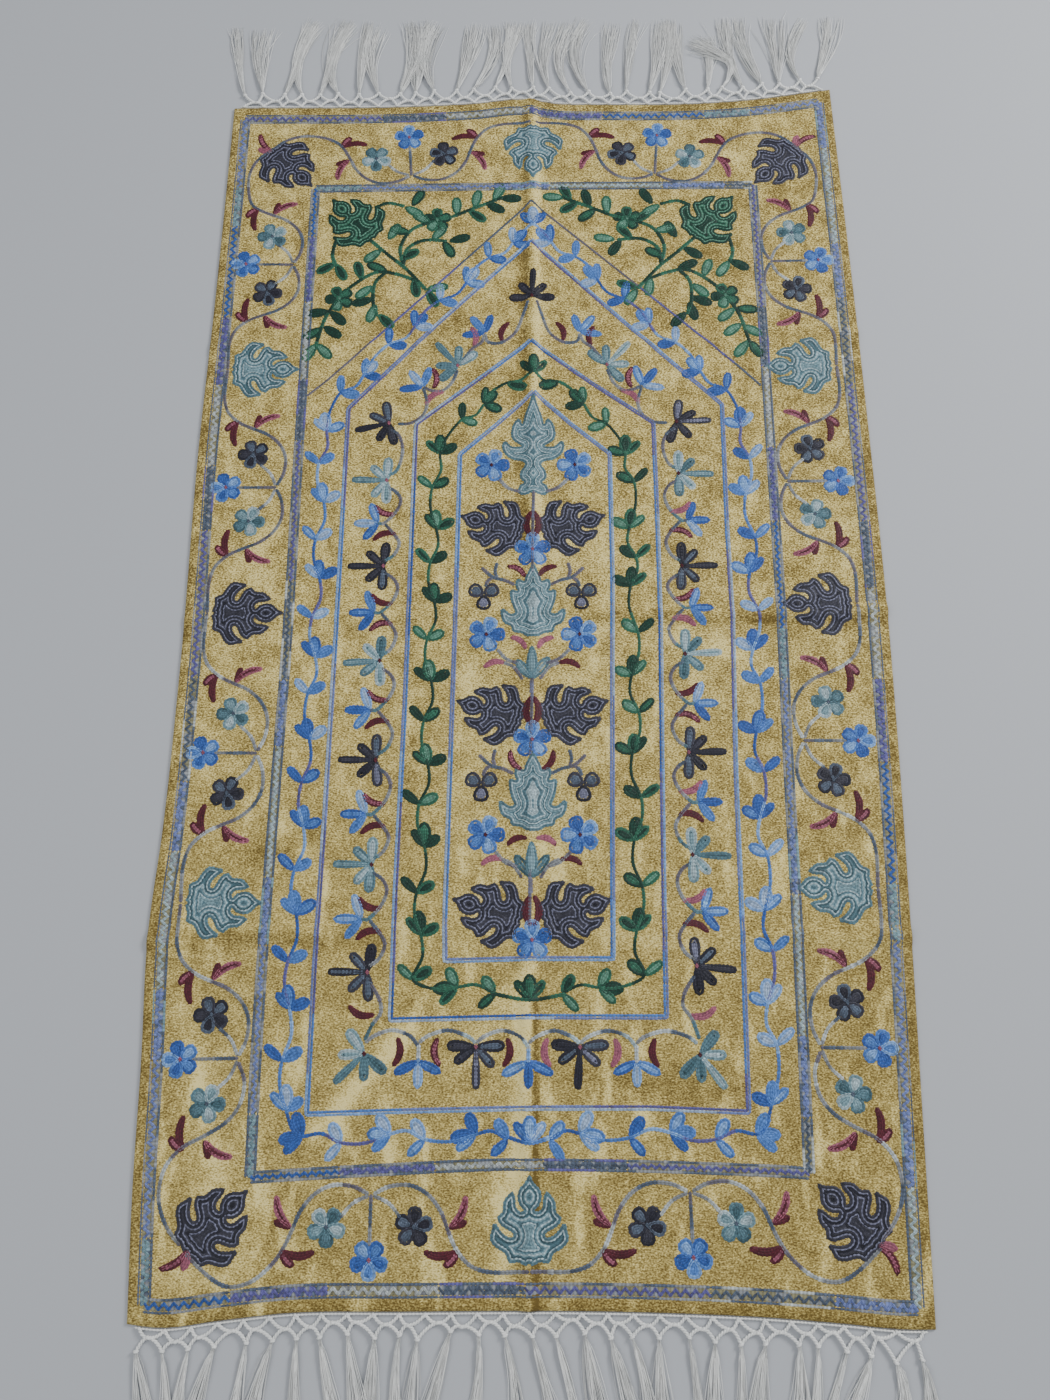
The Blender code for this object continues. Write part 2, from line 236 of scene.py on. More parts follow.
def add_node(tree, kind, values=(), **settings):
    """Add a node with its settings and its inputs."""
    node = tree.nodes.new(kind)
    for key, value in settings.items():
        setattr(node, key, value)
    set_inputs(node, values)
    return node


def noise(tree, coordinates, scale, detail=2.0, roughness=0.55):
    """A noise texture's value on given coordinates."""
    inputs = {"Vector": coordinates, "Scale": scale, "Detail": detail, "Roughness": roughness}
    return add_node(tree, "ShaderNodeTexNoise", inputs).outputs["Fac"]


def maths(tree, operation, *terms):
    """One step of arithmetic between sockets or numbers."""
    return add_node(tree, "ShaderNodeMath", enumerate(terms), operation=operation).outputs[0]


def swing(tree, value, amount):
    """How far a noise is from its middle, times an amount."""
    return maths(tree, "MULTIPLY", maths(tree, "SUBTRACT", value, 0.5), amount)


def bump(tree, height, strength, distance):
    """The normal of a surface raised by a height."""
    inputs = {"Height": height, "Strength": strength, "Distance": distance}
    return add_node(tree, "ShaderNodeBump", inputs).outputs["Normal"]


def ramp(tree, value, stops):
    """A colour ramp: stops are places and four-number colours."""
    node = add_node(tree, "ShaderNodeValToRGB", {0: value})
    elements = node.color_ramp.elements
    while len(elements) < len(stops):
        elements.new(0.5)
    for element, (place, colour) in zip(elements, stops):
        element.position = place
        element.color = colour
    return node.outputs["Color"]


velvet_finish, tree, shader = new_material("crushed_gold_velvet")
place = add_node(tree, "ShaderNodeTexCoord").outputs["Object"]
squeezed = add_node(tree, "ShaderNodeMapping", {"Vector": place, "Scale": (0.7, 1.0, 1.0)}).outputs["Vector"]
tufts = noise(tree, squeezed, 820.0, 1.5)
crush = noise(tree, squeezed, 190.0, 3.0, 0.6)
drift = noise(tree, place, 48.0, 4.0, 0.6)
# The streaks' painted sheen and painted shade, with the broad darkening and the darker hem
painted_light_and_tone_mask = add_node(tree, "ShaderNodeAttribute", attribute_name="painted_light_and_tone").outputs["Fac"]
lower_half = add_node(tree, "ShaderNodeAttribute", attribute_name="near_end_weight").outputs["Fac"]
fine = swing(tree, tufts, maths(tree, "SUBTRACT", 5.2, maths(tree, "MULTIPLY", lower_half, 1.9)))
middle = swing(tree, crush, 0.8)
broad = swing(tree, drift, maths(tree, "SUBTRACT", 2.3, maths(tree, "MULTIPLY", lower_half, 1.3)))
# Painted sheen: bright slanted streaks, in the near half only
slanted = add_node(tree, "ShaderNodeMapping", {
    "Vector": place, "Rotation": (0, 0, -0.95), "Scale": (1.0, 0.36, 1.0),
}).outputs["Vector"]
painted_sheen_streaks = maths(tree, "MAXIMUM", maths(tree, "SUBTRACT", noise(tree, slanted, 46.0, 3.0), 0.54), 0.0)
painted_sheen_streaks = maths(tree, "MULTIPLY", maths(tree, "MULTIPLY", painted_sheen_streaks, lower_half), 5.0)
broad = maths(tree, "ADD", broad, painted_sheen_streaks)
shade = maths(tree, "ADD", maths(tree, "ADD", fine, middle), maths(tree, "ADD", broad, painted_light_and_tone_mask))
shade = maths(tree, "ADD", maths(tree, "MULTIPLY", shade, 0.62), 0.5)
set_inputs(shader, {
    "Base Color": ramp(tree, shade, (
        (0.00, rgba(104, 86, 42)),
        (0.30, rgba(144, 124, 68)),
        (0.52, rgba(175, 156, 92)),
        (0.75, rgba(214, 192, 114)),
        (1.00, rgba(244, 225, 150)),
    )),
    "Roughness": ramp(tree, shade, ((0.2, (0.86, 0.86, 0.86, 1)), (0.9, (0.60, 0.60, 0.60, 1)))),
    "Specular IOR Level": 0.15,
    "Sheen Weight": 0.10,
    "Sheen Roughness": 0.45,
    "Sheen Tint": rgba(255, 240, 205),
    "Normal": bump(tree, maths(tree, "ADD", tufts, maths(tree, "MULTIPLY", crush, 1.4)), 0.55, 0.0012),
})

backing_finish, tree, shader = new_material("cotton_backing")
place = add_node(tree, "ShaderNodeTexCoord").outputs["Object"]
yarn_waves = {"Vector": place, "Scale": 420.0, "Distortion": 1.2, "Detail": 1.0}
warp = add_node(tree, "ShaderNodeTexWave", yarn_waves).outputs["Fac"]
weft = add_node(tree, "ShaderNodeTexWave", yarn_waves, bands_direction="Y").outputs["Fac"]
weave = maths(tree, "MULTIPLY", warp, weft)
stain = maths(tree, "MULTIPLY", noise(tree, place, 60.0), 0.5)
stain = maths(tree, "ADD", maths(tree, "MULTIPLY", weave, 0.5), stain)
set_inputs(shader, {
    "Base Color": ramp(tree, stain, ((0.15, rgba(150, 134, 98)), (0.75, rgba(206, 192, 156)))),
    "Roughness": 0.9,
    "Normal": bump(tree, weave, 0.5, 0.0004),
})

velvet.data.materials.clear()
velvet.data.materials.append(velvet_finish)
velvet.data.materials.append(backing_finish)
for face in velvet.data.polygons:
    face.material_index = 1 if face.normal.z < -0.5 else 0
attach(velvet, "root")
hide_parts("rug_cloth")

# The edge bands: two narrow borders of silk chain stitch, inside the hem and round the
# field. Each is two edge rows and a zigzag row over flat ground rows, in runs of slate,
# violet, blue and pale grey as the threads ran out. Fine stitches hold down the hem.
STITCH = 3.3
ROW = 2.7
FILL_ROW = 3.8
ACCENT_ROW = 1.9
EDGE_DEPTH = -0.25
UNDERLAY_HEIGHT = 0.22
# A stitch is full in its belly and narrow where the next one comes out: belly first, then start
WIDTH_SHARES = (1.03, 0.80)
CREST_SHARES = (1.0, 0.60)
GROOVE_SHARES = (0.36, 0.50)
# Painted highlight and painted shade: each stitch's belly is painted lighter and its start darker
PAINTED_LIGHT_SHARES = (1.12, 0.66)
ON_TOP = 99
UNDERLAY = -1
THREADS = {
    "ink": (38, 38, 50), "charcoal": (58, 58, 70), "slate": (86, 98, 116), "lavender": (118, 120, 144),
    "teal": (88, 122, 134), "deep_teal": (66, 98, 108), "mist": (172, 194, 200), "sea": (124, 156, 166),
    "royal": (54, 94, 172), "azure": (82, 128, 202), "sky": (130, 172, 230), "pale_blue": (164, 188, 220),
    "periwinkle": (116, 132, 190), "violet": (98, 96, 158), "grey_violet": (108, 104, 116),
    "fir": (24, 62, 50), "leaf_green": (48, 102, 80), "sage": (96, 146, 124),
    "maroon": (88, 32, 44), "rose": (160, 92, 112), "stone": (140, 144, 148), "pearl": (188, 196, 196),
    "khaki": (136, 132, 102), "old_gold": (150, 122, 52),
}
THREAD_LIGHT = {name: linear(*values) for name, values in THREADS.items()}
CROSS = np.array([-1.0, -0.5, 0.0, 0.5, 1.0])


def curve(points, closed=False, steps=8):
    """A smooth line through points, in millimetres."""
    p = np.asarray(points, float)
    if closed:
        p = np.vstack([p[-1:], p, p[:2]])
    else:
        p = np.vstack([2 * p[0] - p[1], p, 2 * p[-1] - p[-2]])
    t = np.linspace(0, 1, steps, endpoint=False)[:, None]
    pieces = []
    for a, b, c, d in zip(p[:-3], p[1:-2], p[2:-1], p[3:]):
        pieces.append(
            b + 0.5 * ((c - a) * t + (2 * a - 5 * b + 4 * c - d) * t ** 2 + (3 * b - a - 3 * c + d) * t ** 3)
        )
    if not closed:
        pieces.append(p[-2:-1])
    return np.vstack(pieces)


def walk(points, step, closed=False):
    """Points at even steps along a line, and how far along each is."""
    points = np.asarray(points, float)
    if closed:
        points = np.vstack([points, points[:1]])
    travelled = np.concatenate([[0.0], np.cumsum(np.hypot(*np.diff(points, axis=0).T))])
    count = max(round(travelled[-1] / step), 2)
    at = np.linspace(0, travelled[-1], count + 1)
    if closed:
        at = at[:-1]
    return np.stack([np.interp(at, travelled, points[:, k]) for k in (0, 1)], 1), at


def headings(points, closed=False):
    """Unit directions along a line, and to the left of it."""
    if closed:
        along = np.roll(points, -1, 0) - np.roll(points, 1, 0)
    else:
        along = np.gradient(points, axis=0)
    along = along / np.maximum(np.hypot(*along.T), 1e-9)[:, None]
    return along, np.stack([-along[:, 1], along[:, 0]], 1)


def beside(points, distance, closed=False):
    """The line that runs at a distance to the left of another."""
    _along, left = headings(np.asarray(points, float), closed)
    return points + left * distance


def mesh_of_quads(name, points, quads):
    """A mesh from arrays of points and four-cornered faces."""
    mesh = bpy.data.meshes.new(name)
    mesh.vertices.add(len(points))
    mesh.vertices.foreach_set("co", np.ascontiguousarray(points, np.float32).ravel())
    mesh.loops.add(quads.size)
    mesh.loops.foreach_set("vertex_index", quads.ravel().astype(np.int32))
    mesh.polygons.add(len(quads))
    mesh.polygons.foreach_set("loop_start", np.arange(0, quads.size, 4, dtype=np.int32))
    mesh.update(calc_edges=True)
    mesh.shade_smooth()
    return mesh


class Stitching:
    """Rows of chain stitch that become one piece. The chart is in millimetres."""

    def __init__(self, name, seed):
        self.name = name
        self.random = np.random.default_rng(seed)
        self.points = []
        self.heights = []
        self.quads = []
        self.colours = []
        self.maps = []
        self.count = 0

    def row(self, points, colour, width=ROW, closed=False, height=0.75, run=70.0, lift=0.0, thin=False):
        """Work one row. Several colours take turns along it, each for about run millimetres."""
        # Narrow and wide places take turns, so a row has an odd count of them and a ring an even one
        centre, at = walk(points, STITCH / 2, closed)
        if len(centre) % 2 == (1 if closed else 0):
            centre, at = walk(points, at[-1] / len(at) * 1.0001 if closed else at[-1] / len(at), closed)
        n = len(centre)
        along, left = headings(centre, closed)
        belly = np.arange(n) % 2 == 1
        loose = np.repeat(self.random.normal(0, 1, n // 2 + 1), 2)[:n]
        half = width / 2 * np.where(belly, *WIDTH_SHARES) * (1 + 0.04 * loose)
        crest = height * np.where(belly, *CREST_SHARES) * (1 + 0.10 * loose)
        groove = height * np.where(belly, *GROOVE_SHARES)
        if not closed:
            half[[0, -1]] *= 0.5
            crest[[0, -1]] *= 0.5
        edge = np.full(n, EDGE_DEPTH)
        # Painted shade across a row: its edges and the groove between the loops are darker, the crests a
        # little lighter
        if thin:
            cross, push, painted_shade_across = np.array([-1.0, 0, 1]), np.zeros(3), np.array([0.7, 1.0, 0.7])
            z = np.stack([edge, crest, edge], 1) + lift
        else:
            cross, push = CROSS, np.array([0, 1, -0.6, 1, 0])
            painted_shade_across = np.array([0.55, 1.04, 0.55, 1.04, 0.55])
            z = np.stack([edge, crest, groove, crest, edge], 1) + lift
        push = np.where(belly, 0.18 * STITCH, 0.0)[:, None] * push
        xy = (
            centre[:, None, :]
            + left[:, None, :] * (cross * half[:, None])[:, :, None]
            + along[:, None, :] * push[:, :, None]
        )
        names = [colour] if isinstance(colour, str) else list(colour)
        turn = ((at + self.random.uniform(0, run)) / run).astype(int) % len(names)
        light = np.array([THREAD_LIGHT[name] for name in names])[turn]
        # Random tone of each stitch, times its painted highlight and painted shade
        tone = (1 + 0.15 * loose) * np.where(belly, *PAINTED_LIGHT_SHARES)
        colours = light[:, None, :] * tone[:, None, None] * painted_shade_across[None, :, None]
        wide = len(cross)
        nxt = np.arange(n if closed else n - 1)
        a = self.count + nxt[:, None] * wide + np.arange(wide - 1)
        b = self.count + ((nxt + 1) % n)[:, None] * wide + np.arange(wide - 1)
        self.quads.append(np.stack([a, b, b + 1, a + 1], 2).reshape(-1, 4))
        self.points.append(xy.reshape(-1, 2))
        self.heights.append(z.ravel())
        self.colours.append(colours.reshape(-1, 3))
        unrolled = np.broadcast_arrays(at[:, None] / STITCH, (cross + 1) / 2)
        self.maps.append(np.stack(unrolled, 2).reshape(-1, 2))
        self.count += wide * n

    def rows(self, shape, at=(0, 0), angle=0.0, palette=("ink",), scale=1.0, flip=False, **how):
        """Fill a shape with its rows, placed on the chart and turned by degrees.

        Thin rows on top of the others take the palette's last thread."""
        turn = math.radians(angle)
        across = np.array((-math.sin(turn), math.cos(turn))) * (-1 if flip else 1)
        matrix = np.array([(math.cos(turn), math.sin(turn)), across]) * scale
        for level, closed, points in shape:
            colour = palette[min(level, len(palette) - 1)]
            line = np.asarray(points) @ matrix + np.array(at)
            if level == UNDERLAY:
                self.underlay(line, palette[0], flip)
            elif level == ON_TOP:
                self.row(line, colour, ACCENT_ROW, closed, height=0.5, lift=0.42, thin=True)
            else:
                self.row(line, colour, FILL_ROW * (1.2 if level else 1.0), closed, **how)

    def underlay(self, corners, colour, flip):
        """Flat stitches under a filled shape, four corners each, so that no velvet shows."""
        corners = corners.reshape(-1, 4, 2)
        if flip:
            corners = corners[:, ::-1]
        n = 4 * len(corners)
        self.quads.append(self.count + np.arange(n).reshape(-1, 4))
        self.points.append(corners.reshape(-1, 2))
        self.heights.append(np.full(n, UNDERLAY_HEIGHT))
        # Painted shade: the ground stitches take three quarters of their thread's colour, for the shade
        # between the rows
        self.colours.append(np.tile(THREAD_LIGHT[colour] * 0.75, (n, 1)))
        self.maps.append(corners.reshape(-1, 2) / STITCH)
        self.count += n

    def finish(self, finish):
        """Lay the rows on the velvet and make the piece."""
        xy = np.vstack(self.points) / 1000
        z = cloth_top(xy[:, 0], xy[:, 1]) + np.concatenate(self.heights) / 1000
        quads = np.vstack(self.quads)
        mesh = mesh_of_quads(self.name, np.column_stack([xy, z]), quads)
        colour_layer = mesh.color_attributes.new("thread", "FLOAT_COLOR", "POINT")
        tints = np.clip(np.vstack(self.colours), 0, 1)
        colour_layer.data.foreach_set("color", np.column_stack([tints, np.ones(len(tints))]).ravel())
        corners = quads.ravel()
        stitch_map = mesh.uv_layers.new(name="stitch")
        stitch_map.uv.foreach_set("vector", np.vstack(self.maps)[corners].astype(np.float32).ravel())
        top_map = mesh.uv_layers.new(name="OFBake")
        low = xy.min(0)
        top_map.uv.foreach_set(
            "vector", ((xy[corners] - low) / (xy.max(0) - low) * 0.998 + 0.001).astype(np.float32).ravel()
        )
        piece = bpy.data.objects.new(self.name, mesh)
        bpy.context.collection.objects.link(piece)
        piece.data.materials.append(finish)
        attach(piece, "root")
        return piece


strand_twist = bpy.data.node_groups.new("strand_twist", "ShaderNodeTree")
strand_twist.interface.new_socket("Strands", in_out="INPUT", socket_type="NodeSocketFloat")
strand_twist.interface.new_socket("Map", in_out="INPUT", socket_type="NodeSocketVector")
strand_twist.interface.new_socket("Height", in_out="OUTPUT", socket_type="NodeSocketFloat")
given = strand_twist.nodes.new("NodeGroupInput")
ply = add_node(strand_twist, "ShaderNodeTexWave", {
    "Vector": given.outputs["Map"], "Scale": given.outputs["Strands"], "Distortion": 0.6, "Detail": 1.0,
}, bands_direction="DIAGONAL")
add_node(strand_twist, "NodeGroupOutput", {"Height": ply.outputs["Fac"]})

silk_finish, tree, shader = new_material("silk_chain_stitch")
tint = add_node(tree, "ShaderNodeAttribute", attribute_name="thread").outputs["Color"]
place = add_node(tree, "ShaderNodeTexCoord").outputs["Object"]
# Painted sheen: the thread colour is made lighter and darker in soft blotches across the rug
painted_sheen = maths(tree, "MULTIPLY_ADD", noise(tree, place, 90.0, 3.0, 0.6), 0.5, 0.78)
sheen_varied_thread = add_node(tree, "ShaderNodeHueSaturation", {"Color": tint, "Value": painted_sheen})
stitch_map = add_node(tree, "ShaderNodeUVMap", uv_map="stitch").outputs["UV"]
twist = add_node(tree, "ShaderNodeGroup", {"Strands": 1.6, "Map": stitch_map}, node_tree=strand_twist)
set_inputs(shader, {
    "Base Color": sheen_varied_thread.outputs["Color"],
    "Roughness": 0.5,
    "Specular IOR Level": 0.28,
    "Normal": bump(tree, twist.outputs["Height"], 0.35, 0.0003),
})

bands = Stitching("edge_bands", 11)
# Columns: length of the run in millimetres, kind of filling, its thread, the edges' thread
BAND_RUNS = (
    (150, "open", "violet", "stone"), (70, "plain", "slate", "violet"), (90, "open", "pearl", "slate"),
    (80, "plain", "violet", "stone"), (110, "open", "royal", "stone"), (50, "plain", "sea", "slate"),
    (140, "open", "periwinkle", "stone"), (60, "plain", "periwinkle", "sea"), (120, "open", "mist", "slate"),
    (65, "plain", "periwinkle", "stone"), (100, "open", "slate", "pearl"),
)


def stitch_band(sides, half_width, pitch, first_run=0):
    """Work a band along each side, its runs following one another."""
    run_number = first_run
    inside = half_width - 1.0
    for side in sides:
        line, at = walk(side, 2.0)
        _along, left = headings(line)
        begin = 0.0
        while begin < at[-1] - 12:
            length, kind, thread, edge = BAND_RUNS[run_number % len(BAND_RUNS)]
            run_number += 1
            here = (at >= begin - 1) & (at <= begin + length + 1)
            if at[-1] - begin - length < 25:
                here = at >= begin - 1
                length = at[-1] - begin
            part = line[here]
            out = left[here]
            for offset, edge_run in ((half_width, 40), (-half_width, 25)):
                bands.row(
                    part + out * offset, ("slate", edge), width=2.6, height=0.6, run=edge_run, lift=0.2,
                    thin=True,
                )
            plain = kind == "plain"
            ground = ("slate", thread, "stone") if plain else ("khaki", "stone", "khaki")
            for offset in (-inside / 2, inside / 2):
                bands.row(
                    part + out * offset, ground, width=inside + 0.6, height=0.25, run=3.4 if plain else 11,
                    lift=0.22, thin=True,
                )
            teeth = max(round(length / pitch * 2), 2)
            spots = np.linspace(at[here][0], at[here][-1], teeth + 1)
            sway = np.where(np.arange(teeth + 1) % 2 == 0, 1, -1) * (inside - 1.2)
            zigzag = [
                np.interp(spots, at, line[:, k]) + np.interp(spots, at, left[:, k]) * sway for k in (0, 1)
            ]
            bands.row(np.stack(zigzag, 1), thread, width=2.7, height=0.6, lift=0.35)
            begin += length


def laid(points):
    """Move points of the straight rectangle, in millimetres, to the uneven cloth."""
    points = np.asarray(points, float) / 1000
    across, lengthwise = laid_shift(points[:, 0], points[:, 1])
    return (points + np.stack([across, lengthwise], 1)) * 1000


OUTER_X = 311.5
OUTER_Y = 584.5
outer_corners = [(-OUTER_X, OUTER_Y), (OUTER_X, OUTER_Y), (OUTER_X, -OUTER_Y), (-OUTER_X, -OUTER_Y)]
outer_edges = list(zip(outer_corners, outer_corners[1:] + outer_corners[:1]))
stitch_band([laid(np.linspace(start, end, 60)) for start, end in outer_edges], half_width=4.8, pitch=8.2)

INNER_TOP = [(-230, 493), (0, 494), (235, 493)]
INNER_RIGHT = [(235, 493), (236.5, 340), (237, 100), (237, 0), (235, -150), (234, -300), (231.5, -486)]
INNER_BOTTOM = [(231.5, -486), (200, -484), (100, -481), (0, -480), (-50, -481), (-150, -486), (-232.5, -491)]
INNER_LEFT = [(-232.5, -491), (-234, -400), (-234, -300), (-232, -150), (-230, 0), (-230.5, 200), (-230, 493)]
inner_sides = [curve(side) for side in (INNER_TOP, INNER_RIGHT, INNER_BOTTOM, INNER_LEFT)]
stitch_band(inner_sides, half_width=3.9, pitch=6.6, first_run=5)
HEM_STITCH_INSET = 7.0
hem_half = (WIDTH * 500 - HEM_STITCH_INSET, LENGTH * 500 - HEM_STITCH_INSET)
for corners in outer_edges:
    start, end = np.array(corners) * hem_half / (OUTER_X, OUTER_Y)
    length = np.hypot(*(end - start))
    for share in np.arange(2.0, length - 3.0, 4.2) / length:
        dash = start + (end - start) * np.array([[share], [share + 2.6 / length]])
        bands.row(laid(dash), "old_gold", width=0.9, height=0.25, thin=True)
bands_piece = bands.finish(silk_finish)

# The arch lines: rows of blue chain stitch that frame the field, each a rectangle with
# a gable. The outermost is one thin violet row, and the other three are a pair of rows,
# one darker than the other.
arches = Stitching("arch_lines", 12)
ARCH_VIOLET = [(-226, 243), (-205, 262), (-100, 370), (0, 474), (110, 370), (210, 274), (231, 252)]
ARCH_OUTER = [
    (0, 425), (-92, 330), (-183, 229), (-184, 0), (-186, -200), (-188, -320), (-188, -441), (-100, -438),
    (0, -435.5), (100, -435), (184, -438), (186, -300), (187, -150), (191, 0), (190, 100), (191, 231),
    (95, 327), (0, 425),
]
ARCH_MIDDLE = [
    (0, 305), (-58, 257), (-114.5, 211), (-115.5, 60), (-116.5, -80), (-119.5, -250), (-120, -364),
    (0, -361), (117.5, -361), (118.5, -250), (120.5, -130), (123, 0), (123, 100), (122, 211), (60, 257),
    (0, 305),
]
ARCH_INNER = [
    (3, 246), (-35, 209), (-70, 177), (-71, 30), (-73, -130), (-75, -280), (-74, -314), (0, -312),
    (72.5, -312), (74, -200), (76.5, -60), (78.5, 50), (78, 177), (40, 210), (3, 246),
]
arches.row(ARCH_VIOLET, ("grey_violet", "violet", "slate"), width=3.0, run=130)
for path, dark, light in (
    (ARCH_OUTER, ("azure", "periwinkle", "violet"), ("pale_blue", "periwinkle", "sky")),
    (ARCH_MIDDLE, ("azure", "violet", "royal"), ("sky", "pale_blue", "periwinkle")),
    (ARCH_INNER, ("periwinkle", "azure"), ("pale_blue", "sky", "periwinkle")),
):
    middle_line = walk(path, 3.0)[0]
    arches.row(beside(middle_line, 1.2), dark, width=2.7, run=160)
    arches.row(beside(middle_line, -1.2), light, width=2.6, run=190)
arches_piece = arches.finish(silk_finish)

# The scroll border: plane-tree leaves in navy and teal on a winding stem, with three
# flowers on stalks and four pairs of maroon leaflets between each two leaves. The
# embroiderer fills each shape with rows that follow its outline inwards.
CELL = 0.5
UNDERLAY_CELLS = 6
ACCENT_DEPTHS = (3.0, 6.6, 10.2)


def distance_inside(outline):
    """Distances from an outline to the points of a grid inside it, and the grid's corner."""
    low = outline.min(0) - 2 * CELL
    size = np.ceil((outline.max(0) + 2 * CELL - low) / CELL).astype(int) + 1
    gx, gy = np.meshgrid(*(low[k] + CELL * np.arange(size[k]) for k in (0, 1)), indexing="ij")
    nearest = np.full(gx.shape, 1e9)
    inside = np.zeros(gx.shape, bool)
    for (x0, y0), (x1, y1) in zip(outline, np.roll(outline, -1, 0)):
        run = max((x1 - x0) ** 2 + (y1 - y0) ** 2, 1e-12)
        t = np.clip(((gx - x0) * (x1 - x0) + (gy - y0) * (y1 - y0)) / run, 0, 1)
        nearest = np.minimum(nearest, (gx - x0 - t * (x1 - x0)) ** 2 + (gy - y0 - t * (y1 - y0)) ** 2)
        if y0 != y1:
            crosses = (y0 > gy) != (y1 > gy)
            inside ^= crosses & (gx < x0 + (gy - y0) * (x1 - x0) / (y1 - y0))
    return np.where(inside, np.sqrt(nearest), -np.sqrt(nearest)), low


def level_loops(field, low, level):
    """The closed lines on which a grid of distances has one value."""
    above = field > level
    mixed = above[:-1, :-1].astype(int) + above[1:, :-1] + above[1:, 1:] + above[:-1, 1:]
    follows = {}
    for i, j in np.argwhere((mixed > 0) & (mixed < 4)):
        corners = [(i, j), (i + 1, j), (i + 1, j + 1), (i, j + 1)]
        leaving = []
        entering = []
        for a, b in zip(corners, corners[1:] + corners[:1]):
            if above[a] and not above[b]:
                leaving.append((min(a, b), max(a, b)))
            elif above[b] and not above[a]:
                entering.append((min(a, b), max(a, b)))
        for start, end in zip(leaving, entering):
            follows[start] = end
    loops = []
    while follows:
        start, edge = follows.popitem()
        loop = [start]
        while edge != start and edge in follows:
            loop.append(edge)
            edge = follows.pop(edge)
        a = np.array([pair[0] for pair in loop], float)
        b = np.array([pair[1] for pair in loop], float)
        at_a = np.array([field[pair[0]] for pair in loop])
        at_b = np.array([field[pair[1]] for pair in loop])
        loops.append(low + CELL * (a + (b - a) * ((level - at_a) / (at_b - at_a))[:, None]))
    return loops


def rows_inside(outline):
    """Rows that fill an outline, one row's width further in each time, and accents on top."""
    field, low = distance_inside(outline)
    wide = UNDERLAY_CELLS
    i, j = np.argwhere(field[wide // 2::wide, wide // 2::wide] > 1.9).T * wide
    square = ((0, 0), (wide, 0), (wide, wide), (0, wide))
    corners = np.stack([np.stack([i + a, j + b], 1) for a, b in square], 1)
    shape = [(UNDERLAY, True, (low + CELL * corners).reshape(-1, 2))]
    levels = [(k, (k + 0.5) * ROW, 3.0) for k in range(40) if (k + 0.5) * ROW < field.max() - 0.2]
    for level, depth, shortest in levels + [(ON_TOP, depth, 14.0) for depth in ACCENT_DEPTHS]:
        for loop in level_loops(field, low, depth):
            if np.hypot(*(np.roll(loop, -1, 0) - loop).T).sum() > shortest:
                shape.append((level, True, loop[::2]))
    return shape


def mirrored(half):
    """A closed smooth outline from its upper half, which starts and ends on the X axis."""
    lower = [(x, -y) for x, y in reversed(half) if y > 0.2]
    return curve(list(half) + lower, closed=True, steps=5)


def blade(length, width, base=0.8, tip=0.8, bend=0.0):
    """Rows that fill a long leaf or petal on +X: blunt ends for powers under a half."""
    peak = base / (base + tip)
    tallest = peak ** base * (1 - peak) ** tip
    shape = []
    inset = ROW / 2
    s = 0.5 - 0.5 * np.cos(np.linspace(0, math.pi, 11))
    bow = bend * 4 * s * (1 - s)
    while width - 2 * inset > 0.5 and length - 2 * inset > 2.5:
        x = inset + (length - 2 * inset) * s
        half = (width - 2 * inset) / 2 * s ** base * (1 - s) ** tip / tallest
        upper = np.stack([x, bow + half], 1)
        lower = np.stack([x, bow - half], 1)
        shape.append((len(shape), True, np.vstack([upper, lower[-2:0:-1]])))
        inset += ROW
    if width - 2 * (inset - ROW / 2) > 0.8:
        x = inset - 1.4 + (length - 2 * inset + 2.8) * s
        shape.append((len(shape), False, np.stack([x, bow], 1)))
    return shape


PLANE_LEAF = rows_inside(mirrored([
    (40, 0), (33, 3.4), (27.5, 8.6), (21, 10.4), (14, 8.2), (10.5, 4.5), (9.4, 8), (13, 11.4), (20, 12.2),
    (29, 15.6), (24, 17), (17.5, 22), (9, 23), (4.5, 27.5), (-2, 24), (-7.4, 14.4), (-11, 14), (-10.6, 19),
    (-6, 24.6), (2, 30.6), (-5, 32), (-13, 33.4), (-19, 28.6), (-24, 20.4), (-31, 17), (-30.6, 9),
    (-33, 3), (-31, 0),
]))
NAVY_LEAF = ("charcoal", "ink", "charcoal", "ink", "charcoal", "lavender")
TEAL_LEAF = ("teal", "deep_teal", "sea", "teal", "sea", "mist")
PETAL = blade(16, 12.4, base=0.8, tip=0.34)
LONG_LEAFLET = blade(29, 6.8, base=0.7, tip=0.55, bend=3.5)
SHORT_LEAFLET = blade(17, 7.6, base=0.8, tip=0.55, bend=1.0)


def eye_ring(at):
    """The small ring of stitches in the middle of a flower."""
    angles = np.linspace(0, 2 * math.pi, 9)[:-1]
    return np.stack([np.cos(angles), np.sin(angles)], 1) * 1.1 + np.array(at)


def flower(work, at, turn, petals, eye, scale=1.0):
    """Five round petals, each in its own pair of threads, round a small eye."""
    for k, palette in enumerate(petals):
        work.rows(PETAL, at, turn + 72 * k, palette, scale)
    work.row(eye_ring(at), eye, width=2.4, closed=True, height=0.8, lift=0.55)


def pairs(names):
    """Pairs of threads, for the outline and the inside of a petal or leaf."""
    names = names.split()
    return tuple(zip(names[::2], names[1::2]))


BLUE_PETALS = pairs("sky azure  azure royal  royal azure  azure sky  royal royal")
NAVY_PETALS = pairs("charcoal slate  ink charcoal  slate ink  charcoal ink  ink slate")
TEAL_PETALS = pairs("teal sea  deep_teal teal  sea mist  teal deep_teal  mist sea")
STEM = ("grey_violet", "stone", "slate", "stone", "pearl")
DARK_STEM = ("grey_violet", "slate", "grey_violet", "stone")


def stem(work, points, colours=STEM, width=4.3, run=18):
    """A stem: one row of the thickest thread."""
    work.row(walk(curve(points), 2.5)[0], colours, width=width, height=0.9, run=run)


